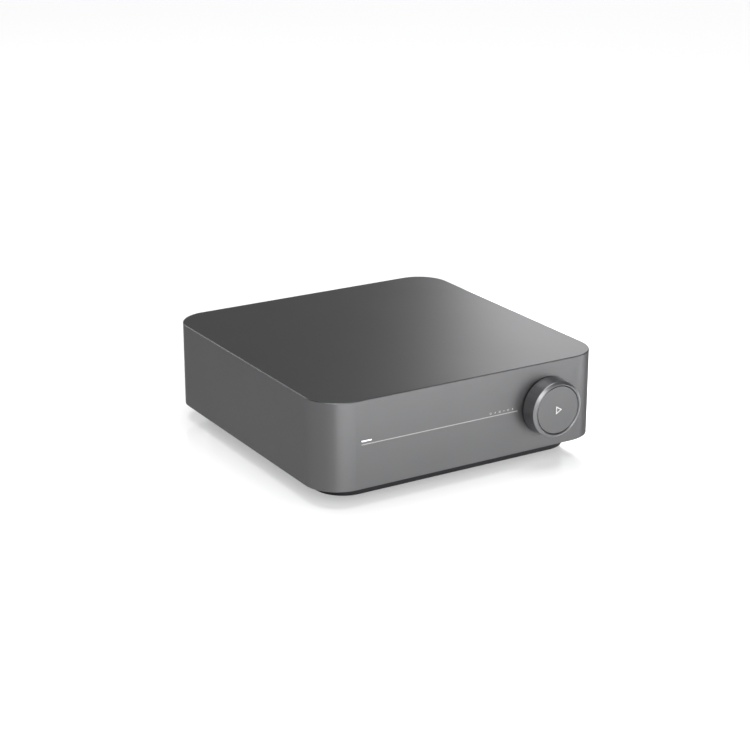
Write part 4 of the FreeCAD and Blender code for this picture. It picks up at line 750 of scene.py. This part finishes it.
low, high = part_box("mains_choke")
middle = Vector((low[0] + high[0], low[1] + high[1], 0.0)) / 2
corners = [
    (CHOKE_INNER, low[2], -1),
    (CHOKE_OUTER, low[2], 1),
    (CHOKE_OUTER, high[2], 1),
    (CHOKE_INNER, high[2], -1),
]
drawn = bmesh.new()
for half in (0, 180):
    for turn in range(TURNS):
        step = radians(half + FIRST_TURN + TURN_STEP * turn)
        outward = Vector((cos(step), sin(step), 0.0))
        aside = Vector((-sin(step), cos(step), 0.0))
        rings = []
        for radius, level, side in corners:
            upward = 1 if level == high[2] else -1
            inner = middle + outward * radius + Vector((0.0, 0.0, level))
            outer = inner + outward * (side * WIRE_HALF * 2) + Vector((0.0, 0.0, upward * WIRE_HALF * 2))
            spots = ((inner, -WIRE_HALF), (inner, WIRE_HALF), (outer, WIRE_HALF), (outer, -WIRE_HALF))
            rings.append([drawn.verts.new(spot + aside * reach) for spot, reach in spots])
        for near, far in zip(rings, rings[1:] + rings[:1]):
            for place in range(4):
                following = (place + 1) % 4
                drawn.faces.new((near[place], near[following], far[following], far[place]))
bmesh.ops.recalc_face_normals(drawn, faces=drawn.faces)
choke_winding = drawn_piece("choke_winding", drawn, copper)
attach(choke_winding, "chassis")

# The film capacitors between the coils and the posts are rolls of metal coated film in small boxes. The
# boxes are moulded in blue grey polyester and filled with resin from below, so the other faces are smooth.
CASE_BLUE = "#3d4a5c"
CASE_PALE = "#4a586b"
CASE_FLOW = 3 * MM

film_case = bpy.data.materials.new("moulded_polyester_case")
tree = new_tree(film_case)
place = add_node(tree, "ShaderNodeTexCoord")
cloud = add_node(
    tree, "ShaderNodeTexNoise", {"Vector": place.outputs["Object"], "Scale": 1 / CASE_FLOW, "Detail": 2.0}
)
tone = add_node(
    tree,
    "ShaderNodeMix",
    {"Factor": cloud.outputs["Fac"], 6: linear(CASE_BLUE), 7: linear(CASE_PALE)},
    data_type="RGBA",
)
shader = add_node(
    tree, "ShaderNodeBsdfPrincipled", {"Base Color": tone.outputs[2], "Roughness": 0.34, "IOR": 1.57}
)
add_node(tree, "ShaderNodeOutputMaterial", {"Surface": shader.outputs["BSDF"]})
dress(film_case, "filter_capacitors")

# The bulk capacitors are pressed aluminium cans in a black sleeve that is shrunk on with heat. It lies
# on them smooth and glossy, with a slight ripple, and ends just below the top, whose metal stays bare.
SLEEVE_BLACK = "#1b1c20"
CAN_METAL = "#c9cbcd"
SLEEVE_GAP = 0.1 * MM
SLEEVE_RIPPLE = 6 * MM

can_sleeve = bpy.data.materials.new("shrunk_sleeve_on_aluminium_can")
tree = new_tree(can_sleeve)
place = add_node(tree, "ShaderNodeTexCoord")
axes = add_node(tree, "ShaderNodeSeparateXYZ", {"Vector": place.outputs["Object"]})
sleeve_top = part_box("bulk_capacitors")[1][2] - SLEEVE_GAP
bare = add_node(tree, "ShaderNodeMath", {0: axes.outputs["Z"], 1: sleeve_top}, operation="GREATER_THAN")
ripple = add_node(
    tree,
    "ShaderNodeTexNoise",
    {"Vector": place.outputs["Object"], "Scale": 1 / SLEEVE_RIPPLE, "Detail": 2.0},
)
tone = add_node(
    tree,
    "ShaderNodeMix",
    {"Factor": bare.outputs[0], 6: linear(SLEEVE_BLACK), 7: linear(CAN_METAL)},
    data_type="RGBA",
)
relief = add_node(
    tree, "ShaderNodeBump", {"Height": ripple.outputs["Fac"], "Strength": 0.2, "Distance": 0.1 * MM}
)
shader = add_node(
    tree,
    "ShaderNodeBsdfPrincipled",
    {
        "Base Color": tone.outputs[2],
        "Metallic": bare.outputs[0],
        "Roughness": 0.24,
        "IOR": 1.53,
        "Normal": relief.outputs["Normal"],
    },
)
add_node(tree, "ShaderNodeOutputMaterial", {"Surface": shader.outputs["BSDF"]})
dress(can_sleeve, "bulk_capacitors")

# The knob's hub, its code wheel, the button's guide and the ribbon's connectors are moulded in natural
# nylon, which is milky and slightly see-through at its thin edges. The ribbon's film is as pale.
NYLON_MILK = "#d9d6cb"
NYLON_SHADE = "#c9c5b8"
NYLON_FLOW = 4 * MM
NYLON_DEPTH = 1.0 * MM

white_nylon = bpy.data.materials.new("natural_nylon")
tree = new_tree(white_nylon)
place = add_node(tree, "ShaderNodeTexCoord")
cloud = add_node(
    tree, "ShaderNodeTexNoise", {"Vector": place.outputs["Object"], "Scale": 1 / NYLON_FLOW, "Detail": 2.0}
)
tone = add_node(
    tree,
    "ShaderNodeMix",
    {"Factor": cloud.outputs["Fac"], 6: linear(NYLON_MILK), 7: linear(NYLON_SHADE)},
    data_type="RGBA",
)
shader = add_node(
    tree,
    "ShaderNodeBsdfPrincipled",
    {
        "Base Color": tone.outputs[2],
        "Roughness": 0.4,
        "IOR": 1.53,
        "Subsurface Weight": 0.15,
        "Subsurface Radius": (NYLON_DEPTH, NYLON_DEPTH, NYLON_DEPTH),
    },
)
add_node(tree, "ShaderNodeOutputMaterial", {"Surface": shader.outputs["BSDF"]})
dress(white_nylon, "knob_hub", "code_wheel", "button_guide", "ribbon_connectors", "front_ribbon")

# The rear panel is punched steel sheet under baked powder coat. The powder melts into a satin black
# film with a fine orange peel that softens every highlight.
POWDER_BLACK = "#222325"
POWDER_LIGHT = "#2c2d30"
ORANGE_PEEL = 0.9 * MM

black_panel = bpy.data.materials.new("black_powder_coated_steel")
tree = new_tree(black_panel)
place = add_node(tree, "ShaderNodeTexCoord")
peel = add_node(
    tree, "ShaderNodeTexNoise", {"Vector": place.outputs["Object"], "Scale": 1 / ORANGE_PEEL, "Detail": 2.0}
)
tone = add_node(
    tree,
    "ShaderNodeMix",
    {"Factor": peel.outputs["Fac"], 6: linear(POWDER_BLACK), 7: linear(POWDER_LIGHT)},
    data_type="RGBA",
)
relief = add_node(
    tree, "ShaderNodeBump", {"Height": peel.outputs["Fac"], "Strength": 0.5, "Distance": 0.05 * MM}
)
shader = add_node(
    tree,
    "ShaderNodeBsdfPrincipled",
    {"Base Color": tone.outputs[2], "Roughness": 0.45, "IOR": 1.5, "Normal": relief.outputs["Normal"]},
)
add_node(tree, "ShaderNodeOutputMaterial", {"Surface": shader.outputs["BSDF"]})
dress(black_panel, "rear_panel")

# A plus and a minus sign are screen printed between the posts in a film of white enamel. What is under
# so thin a film dulls it to a pale, slightly uneven grey. The same enamel fills the line across the
# front, where it is wiped thinner still.
PRINT_FILM = 0.03 * MM
FILM_CLOUD = 1.5 * MM

enamel_tones = {
    "white_printing_enamel": ("#a8a8a7", "#9d9d9c"),
    "wiped_white_enamel": ("#8c8c8b", "#838382"),
}
for name, (full, thin) in enamel_tones.items():
    tree = new_tree(bpy.data.materials.new(name))
    place = add_node(tree, "ShaderNodeTexCoord")
    film = add_node(
        tree,
        "ShaderNodeTexNoise",
        {"Vector": place.outputs["Object"], "Scale": 1 / FILM_CLOUD, "Detail": 2.0},
    )
    tone = add_node(
        tree,
        "ShaderNodeMix",
        {"Factor": film.outputs["Fac"], 6: linear(full), 7: linear(thin)},
        data_type="RGBA",
    )
    shader = add_node(
        tree, "ShaderNodeBsdfPrincipled", {"Base Color": tone.outputs[2], "Roughness": 0.42, "IOR": 1.5}
    )
    add_node(tree, "ShaderNodeOutputMaterial", {"Surface": shader.outputs["BSDF"]})


def print_shape(drawn, outline, hole, face, film):
    """Adds a printed shape: a closed outline of (x, z) points, with a hole of as many points or none."""
    rows = []
    for depth in (face, face + film):
        rows.append([drawn.verts.new((x, depth, z)) for x, z in outline])
        rows.append([drawn.verts.new((x, depth, z)) for x, z in hole])
    back, back_hole, rim, rim_hole = rows
    count = len(outline)
    for place in range(count):
        following = (place + 1) % count
        drawn.faces.new((back[place], back[following], rim[following], rim[place]))
        if hole:
            drawn.faces.new((back_hole[following], back_hole[place], rim_hole[place], rim_hole[following]))
            drawn.faces.new((rim[place], rim[following], rim_hole[following], rim_hole[place]))
            drawn.faces.new((back[following], back[place], back_hole[place], back_hole[following]))
    if not hole:
        drawn.faces.new(rim)
        drawn.faces.new(list(reversed(back)))


def printed_piece(name, drawn, body):
    """Makes a drawn print a piece of white enamel that rides on a body."""
    bmesh.ops.recalc_face_normals(drawn, faces=drawn.faces)
    made = drawn_piece(name, drawn, bpy.data.materials["white_printing_enamel"])
    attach(made, body)


SIGN_REACH = 1.5 * MM
SIGN_HALF = 0.25 * MM
ARM_HALF = (SIGN_REACH - SIGN_HALF) / 2


def bar(x, z, half_x, half_z):
    """The corners of an upright rectangle round (x, z)."""
    return [(x + side * half_x, z + end * half_z) for side, end in ((-1, -1), (1, -1), (1, 1), (-1, 1))]


def middle_of(name):
    """The middle of a node's box."""
    low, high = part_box(name)
    return (low + high) / 2


minus_post = middle_of("right_minus_cap")
plus_post = middle_of("right_plus_cap")
sign_level = (minus_post[2] + middle_of("left_minus_cap")[2]) / 2
panel_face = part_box("rear_panel")[1][1]
drawn = bmesh.new()
for post in (minus_post, plus_post):
    print_shape(drawn, bar(post[0], sign_level, SIGN_REACH, SIGN_HALF), [], panel_face, PRINT_FILM)
for side in (-1, 1):
    level = sign_level + side * (SIGN_HALF + ARM_HALF)
    print_shape(drawn, bar(plus_post[0], level, SIGN_HALF, ARM_HALF), [], panel_face, PRINT_FILM)
printed_piece("post_signs", drawn, "chassis")

# The loudspeaker posts' studs and caps and the phono barrels are turned from brass, under a thin gold
# plate: a warm, pale yellow metal that stays bright.
GOLD_LIGHT = "#e3c184"
GOLD_DEEP = "#cfa662"
GOLD_CLOUD = 2.5 * MM

gold_plate = bpy.data.materials.new("gold_plated_brass")
tree = new_tree(gold_plate)
place = add_node(tree, "ShaderNodeTexCoord")
cloud = add_node(
    tree, "ShaderNodeTexNoise", {"Vector": place.outputs["Object"], "Scale": 1 / GOLD_CLOUD, "Detail": 3.0}
)
tone = add_node(
    tree,
    "ShaderNodeMix",
    {"Factor": cloud.outputs["Fac"], 6: linear(GOLD_LIGHT), 7: linear(GOLD_DEEP)},
    data_type="RGBA",
)
gloss = add_node(
    tree, "ShaderNodeMapRange", {"Value": cloud.outputs["Fac"], "To Min": 0.16, "To Max": 0.26}
)
shader = add_node(
    tree,
    "ShaderNodeBsdfPrincipled",
    {"Base Color": tone.outputs[2], "Metallic": 1.0, "Roughness": gloss.outputs["Result"]},
)
add_node(tree, "ShaderNodeOutputMaterial", {"Surface": shader.outputs["BSDF"]})
dress(
    gold_plate,
    "post_studs",
    "phono_barrels",
    "right_minus_cap",
    "right_plus_cap",
    "left_minus_cap",
    "left_plus_cap",
)

# The posts' collars and washers are moulded in polycarbonate, and the phono inserts and the tongues of
# the ports in polypropylene. Both come out of a polished mould with a gloss. The colours tell the
# terminals apart: red for plus and right, white for left, black for the others.
MELT_FLOW = 3 * MM

moulding_colours = {
    "black_polycarbonate": (
        "#1d1d1f",
        "#29292b",
        ("post_collars", "right_minus_washer", "left_minus_washer"),
    ),
    "red_polycarbonate": ("#a3161b", "#b3222a", ("right_plus_washer", "left_plus_washer")),
    "white_polypropylene": ("#e6e4de", "#d9d7d0", ("line_in_left_insert",)),
    "red_polypropylene": ("#a81a1e", "#b8262c", ("line_in_right_insert",)),
    "black_polypropylene": ("#1f1f21", "#2b2b2d", ("sub_out_insert", "port_tongues")),
}
for name, (deep, pale, nodes) in moulding_colours.items():
    moulded = bpy.data.materials.new(name)
    tree = new_tree(moulded)
    place = add_node(tree, "ShaderNodeTexCoord")
    flow = add_node(
        tree,
        "ShaderNodeTexNoise",
        {"Vector": place.outputs["Object"], "Scale": 1 / MELT_FLOW, "Detail": 3.0},
    )
    tone = add_node(
        tree,
        "ShaderNodeMix",
        {"Factor": flow.outputs["Fac"], 6: linear(deep), 7: linear(pale)},
        data_type="RGBA",
    )
    gloss = add_node(
        tree, "ShaderNodeMapRange", {"Value": flow.outputs["Fac"], "To Min": 0.22, "To Max": 0.34}
    )
    shader = add_node(
        tree,
        "ShaderNodeBsdfPrincipled",
        {"Base Color": tone.outputs[2], "Roughness": gloss.outputs["Result"], "IOR": 1.58},
    )
    add_node(tree, "ShaderNodeOutputMaterial", {"Surface": shader.outputs["BSDF"]})
    dress(moulded, *nodes)

# The socket shells, the wireless module's can and the inlet's pins are folded from brass strip under
# nickel plate, a slightly warm grey metal with faint rolling lines.
NICKEL_LIGHT = "#bdb9b1"
NICKEL_DARK = "#9d9991"
ROLLING_LINE = 0.5 * MM
ROLLING_STRETCH = (1.0, 0.05, 1.0)

nickel_shell = bpy.data.materials.new("nickel_plated_strip")
tree = new_tree(nickel_shell)
place = add_node(tree, "ShaderNodeTexCoord")
rolled = add_node(tree, "ShaderNodeMapping", {"Vector": place.outputs["Object"], "Scale": ROLLING_STRETCH})
lines = add_node(
    tree,
    "ShaderNodeTexNoise",
    {"Vector": rolled.outputs["Vector"], "Scale": 1 / ROLLING_LINE, "Detail": 2.0},
)
tone = add_node(
    tree,
    "ShaderNodeMix",
    {"Factor": lines.outputs["Fac"], 6: linear(NICKEL_LIGHT), 7: linear(NICKEL_DARK)},
    data_type="RGBA",
)
shader = add_node(
    tree, "ShaderNodeBsdfPrincipled", {"Base Color": tone.outputs[2], "Metallic": 1.0, "Roughness": 0.27}
)
add_node(tree, "ShaderNodeOutputMaterial", {"Surface": shader.outputs["BSDF"]})
dress(nickel_shell, "video_jack", "usb_jack", "inlet_pins", "wireless_module")

# The contacts of the sockets are stamped from thin strip and gold plated: eight sloping springs under
# the roof of the network socket, and flat rows on the tongues of the video and USB sockets.
CONTACT_THICKNESS = 0.08 * MM
SPRINGS = 8
SPRING_PITCH = 1.02 * MM
SPRING_HALF = 0.18 * MM
SPRING_HEIGHT = 11.2 * MM
SPRING_START = 3.0 * MM
SPRING_END = 12.0 * MM
SPRING_DROP = 3.4 * MM
TONGUE_START = 2.1 * MM
TONGUE_HALF = 0.75 * MM
FLAT_LENGTH = 7.0 * MM


def contact(drawn, x, half, start, end):
    """Adds a thin strip between two places, given as (y, z), with some thickness below them."""
    rows = []
    for y, z in (start, end):
        for level in (z, z - CONTACT_THICKNESS):
            rows.append([drawn.verts.new((x - half, y, level)), drawn.verts.new((x + half, y, level))])
    near_top, near_low, far_top, far_low = rows
    drawn.faces.new((near_top[0], near_top[1], far_top[1], far_top[0]))
    drawn.faces.new((near_low[1], near_low[0], far_low[0], far_low[1]))
    drawn.faces.new((near_top[1], near_top[0], near_low[0], near_low[1]))
    drawn.faces.new((far_top[0], far_top[1], far_low[1], far_low[0]))
    drawn.faces.new((near_top[0], far_top[0], far_low[0], near_low[0]))
    drawn.faces.new((far_top[1], near_top[1], near_low[1], far_low[1]))


drawn = bmesh.new()
low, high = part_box("network_jack")
middle = (low[0] + high[0]) / 2
roof = low[2] + SPRING_HEIGHT
start = (high[1] - SPRING_START, roof)
end = (high[1] - SPRING_END, roof - SPRING_DROP)
for place in range(SPRINGS):
    contact(drawn, middle + SPRING_PITCH * (place - (SPRINGS - 1) / 2), SPRING_HALF, start, end)

# Each pair of flat rows has its socket, pitch and half width, and how many contacts lie above and below.
flat_rows = (
    ("video_jack", 1.0 * MM, 0.22 * MM, (10, 9)),
    ("usb_jack", 2.3 * MM, 0.5 * MM, (0, 4)),
)
for name, pitch, half, counts in flat_rows:
    low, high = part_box(name)
    middle = (low[0] + high[0]) / 2
    level = (low[2] + high[2]) / 2
    tip = high[1] - TONGUE_START
    for count, face in zip(counts, (level + TONGUE_HALF + CONTACT_THICKNESS, level - TONGUE_HALF)):
        for place in range(count):
            x = middle + pitch * (place - (count - 1) / 2)
            contact(drawn, x, half, (tip, face), (tip - FLAT_LENGTH, face))
socket_contacts = drawn_piece("socket_contacts", drawn, gold_plate)
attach(socket_contacts, "chassis")

# The body is milled from aluminium, blasted with fine glass beads and anodised space grey. The beads
# leave tiny dimples, finer than a pixel, so here they are drawn 0.6 mm wide and very shallow. The dyed
# oxide gives a dark metal with soft, wide highlights.
SHELL_GREY = "#5d5d5e"
SHELL_PALE = "#616162"
EDGE_SHEEN = "#bcbcbc"
BEAD_DIMPLE = 0.6 * MM
DYE_CLOUD = 40 * MM

anodised = bpy.data.materials.new("bead_blasted_anodised_aluminium")
tree = new_tree(anodised)
place = add_node(tree, "ShaderNodeTexCoord")
dimples = add_node(
    tree, "ShaderNodeTexNoise", {"Vector": place.outputs["Object"], "Scale": 1 / BEAD_DIMPLE, "Detail": 3.0}
)
bath = add_node(
    tree, "ShaderNodeTexNoise", {"Vector": place.outputs["Object"], "Scale": 1 / DYE_CLOUD, "Detail": 2.0}
)
tone = add_node(
    tree,
    "ShaderNodeMix",
    {"Factor": bath.outputs["Fac"], 6: linear(SHELL_GREY), 7: linear(SHELL_PALE)},
    data_type="RGBA",
)
gloss = add_node(
    tree, "ShaderNodeMapRange", {"Value": dimples.outputs["Fac"], "To Min": 0.36, "To Max": 0.40}
)
relief = add_node(
    tree, "ShaderNodeBump", {"Height": dimples.outputs["Fac"], "Strength": 0.06, "Distance": 0.02 * MM}
)
shader = add_node(
    tree,
    "ShaderNodeBsdfPrincipled",
    {
        "Base Color": tone.outputs[2],
        "Metallic": 1.0,
        "Roughness": gloss.outputs["Result"],
        "Specular Tint": linear(EDGE_SHEEN),
        "Normal": relief.outputs["Normal"],
    },
)
add_node(tree, "ShaderNodeOutputMaterial", {"Surface": shader.outputs["BSDF"]})
dress(anodised, "top_shell")

# The button is a disc turned from aluminium, with a stem that slides in its guide and never shows. It
# is blasted and anodised together with the body, so that the two match.
dress(anodised, "play_button")

# The knob's ring is turned from the same aluminium, and the fine grooves that this leaves spread light
# along its axis. The side is then brushed, in streaks finer than a pixel that are drawn 0.7 mm apart,
# and anodised. The bevel is cut again afterwards with a diamond, so that brighter metal shows there.
BRUSHED_GREY = "#5c5c5e"
BRUSHED_PALE = "#717173"
LIP_GREY = "#6f6f71"
BEVEL_GREY = "#808082"
STREAK = 0.7 * MM
STREAK_STRETCH = 0.04
SIDE_RADIUS = 17 * MM
BEVEL_DEPTH = 1.55 * MM
LIP_DEPTH = 0.04 * MM

low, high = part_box("play_button")
knob_axis = Vector((low[0] + high[0], 0.0, low[2] + high[2])) / 2
knob_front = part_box("knob_ring")[0][1]
turned = bpy.data.materials.new("turned_and_brushed_anodised_aluminium")
tree = new_tree(turned)
place = add_node(tree, "ShaderNodeTexCoord")
centred = add_node(tree, "ShaderNodeMapping", {"Vector": place.outputs["Object"], "Location": -knob_axis})
axes = add_node(tree, "ShaderNodeSeparateXYZ", {"Vector": centred.outputs["Vector"]})
angle = add_node(tree, "ShaderNodeMath", {0: axes.outputs["Z"], 1: axes.outputs["X"]}, operation="ARCTAN2")
arc = add_node(tree, "ShaderNodeMath", {0: angle.outputs[0], 1: SIDE_RADIUS}, operation="MULTIPLY")
drawn_out = add_node(
    tree, "ShaderNodeMath", {0: axes.outputs["Y"], 1: STREAK_STRETCH}, operation="MULTIPLY"
)
along = add_node(tree, "ShaderNodeCombineXYZ", {"X": arc.outputs[0], "Y": drawn_out.outputs[0]})
streaks = add_node(
    tree, "ShaderNodeTexNoise", {"Vector": along.outputs["Vector"], "Scale": 1 / STREAK, "Detail": 3.0}
)
side = add_node(
    tree,
    "ShaderNodeMix",
    {"Factor": streaks.outputs["Fac"], 6: linear(BRUSHED_GREY), 7: linear(BRUSHED_PALE)},
    data_type="RGBA",
)
past_side = add_node(
    tree, "ShaderNodeMath", {0: axes.outputs["Y"], 1: knob_front + BEVEL_DEPTH}, operation="LESS_THAN"
)
past_bevel = add_node(
    tree, "ShaderNodeMath", {0: axes.outputs["Y"], 1: knob_front + LIP_DEPTH}, operation="LESS_THAN"
)
cut = add_node(
    tree,
    "ShaderNodeMix",
    {"Factor": past_side.outputs[0], 6: side.outputs[2], 7: linear(BEVEL_GREY)},
    data_type="RGBA",
)
tone = add_node(
    tree,
    "ShaderNodeMix",
    {"Factor": past_bevel.outputs[0], 6: cut.outputs[2], 7: linear(LIP_GREY)},
    data_type="RGBA",
)
gloss = add_node(
    tree, "ShaderNodeMapRange", {"Value": past_side.outputs[0], "To Min": 0.46, "To Max": 0.34}
)
grooved = add_node(
    tree, "ShaderNodeMapRange", {"Value": past_side.outputs[0], "To Min": 0.6, "To Max": 0.0}
)
around = add_node(tree, "ShaderNodeTangent", direction_type="RADIAL", axis="Y")
relief = add_node(
    tree, "ShaderNodeBump", {"Height": streaks.outputs["Fac"], "Strength": 0.3, "Distance": 0.03 * MM}
)
shader = add_node(
    tree,
    "ShaderNodeBsdfPrincipled",
    {
        "Base Color": tone.outputs[2],
        "Metallic": 1.0,
        "Roughness": gloss.outputs["Result"],
        "Anisotropic": grooved.outputs["Result"],
        "Anisotropic Rotation": 0.25,
        "Tangent": around.outputs["Tangent"],
        "Normal": relief.outputs["Normal"],
    },
)
add_node(tree, "ShaderNodeOutputMaterial", {"Surface": shader.outputs["BSDF"]})
dress(turned, "knob_ring")

# The line across the front is a slot milled in the body. It is filled with white enamel and wiped
# flush, which leaves it a fine pale line.
dress(bpy.data.materials["wiped_white_enamel"], "front_line")

# The status bar is the face of a light guide in opal polycarbonate, lit from the small board behind.
# It glows evenly, just brighter than the enamel.
OPAL = "#dcdddf"
GUIDE_CLOUD = 2 * MM

opal_guide = bpy.data.materials.new("lit_opal_polycarbonate")
tree = new_tree(opal_guide)
place = add_node(tree, "ShaderNodeTexCoord")
spread = add_node(
    tree, "ShaderNodeTexNoise", {"Vector": place.outputs["Object"], "Scale": 1 / GUIDE_CLOUD, "Detail": 2.0}
)
glow = add_node(
    tree, "ShaderNodeMapRange", {"Value": spread.outputs["Fac"], "To Min": 0.20, "To Max": 0.28}
)
shader = add_node(
    tree,
    "ShaderNodeBsdfPrincipled",
    {
        "Base Color": linear(OPAL),
        "Roughness": 0.3,
        "IOR": 1.58,
        "Emission Color": linear(OPAL),
        "Emission Strength": glow.outputs["Result"],
    },
)
add_node(tree, "ShaderNodeOutputMaterial", {"Surface": shader.outputs["BSDF"]})
dress(opal_guide, "status_guide")

# Six input marks are printed above the right end of the line: a ring, a triangle, a square, three
# dots, a hexagon and a spot. They are plain shapes about 1.2 mm high or less, with strokes so fine that
# they look fainter than the line.
MARK_RISE = 38.75 * MM
RING_PLACE = 15.2 * MM
TRIANGLE_PLACE = 18.4 * MM
SQUARE_PLACE = 21.5 * MM
DOTS_PLACE = 24.4 * MM
HEXAGON_PLACE = 27.4 * MM
SPOT_PLACE = 30.5 * MM
STROKE = 0.15 * MM
MARK_RADIUS = 0.6 * MM
TRIANGLE_HOLE = 0.3 * MM
SQUARE_RADIUS = 0.72 * MM
CORNER_STRETCH = 1.4
SQUARE_HOLE = SQUARE_RADIUS - CORNER_STRETCH * STROKE
DOT_PITCH = 0.45 * MM
DOT_RADIUS = 0.16 * MM
SPOT_RADIUS = 0.34 * MM


def polygon(x, z, radius, sides, turn):
    """The corners of a regular polygon round (x, z), turned by some degrees."""
    steps = [radians(turn) + 2 * pi * side / sides for side in range(sides)]
    return [(x + radius * cos(step), z + radius * sin(step)) for step in steps]


# Each shape has its place, its sides and its turn, and the reach of its outline and of its hole.
mark_shapes = (
    (RING_PLACE, 20, 0, MARK_RADIUS, MARK_RADIUS - STROKE),
    (TRIANGLE_PLACE, 3, 90, MARK_RADIUS, TRIANGLE_HOLE),
    (SQUARE_PLACE, 4, 45, SQUARE_RADIUS, SQUARE_HOLE),
    (DOTS_PLACE - DOT_PITCH, 8, 0, DOT_RADIUS, None),
    (DOTS_PLACE, 8, 0, DOT_RADIUS, None),
    (DOTS_PLACE + DOT_PITCH, 8, 0, DOT_RADIUS, None),
    (HEXAGON_PLACE, 6, 0, MARK_RADIUS, MARK_RADIUS - STROKE),
    (SPOT_PLACE, 20, 0, SPOT_RADIUS, None),
)
front_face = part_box("top_shell")[0][1]
drawn = bmesh.new()
for x, sides, turn, reach, hole_reach in mark_shapes:
    outline = polygon(x, MARK_RISE, reach, sides, turn)
    hole = polygon(x, MARK_RISE, hole_reach, sides, turn) if hole_reach else []
    print_shape(drawn, outline, hole, front_face, -PRINT_FILM)
printed_piece("input_marks", drawn, "chassis")

# The play sign is printed on the middle of the button, which stays upright while the ring turns. It is
# a triangle in outline, balanced on the knob's axis, in the same enamel as the marks and with a stroke
# 0.62 mm wide.
PLAY_WIDTH = 4.2 * MM
PLAY_HEIGHT = 5.1 * MM
PLAY_STROKE = 0.62 * MM

left = knob_axis[0] - PLAY_WIDTH / 3
right = left + PLAY_WIDTH
middle = knob_axis[2]
outer = [(left, middle + PLAY_HEIGHT / 2), (left, middle - PLAY_HEIGHT / 2), (right, middle)]
slope = (PLAY_WIDTH**2 + (PLAY_HEIGHT / 2) ** 2) ** 0.5
inner_left = left + PLAY_STROKE
inner_right = right - PLAY_STROKE * slope / (PLAY_HEIGHT / 2)
inner_half = (inner_right - inner_left) * (PLAY_HEIGHT / 2) / PLAY_WIDTH
inner = [(inner_left, middle + inner_half), (inner_left, middle - inner_half), (inner_right, middle)]
button_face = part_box("play_button")[0][1]
drawn = bmesh.new()
print_shape(drawn, outer, inner, button_face, -PRINT_FILM)
printed_piece("play_sign", drawn, "centre_button")
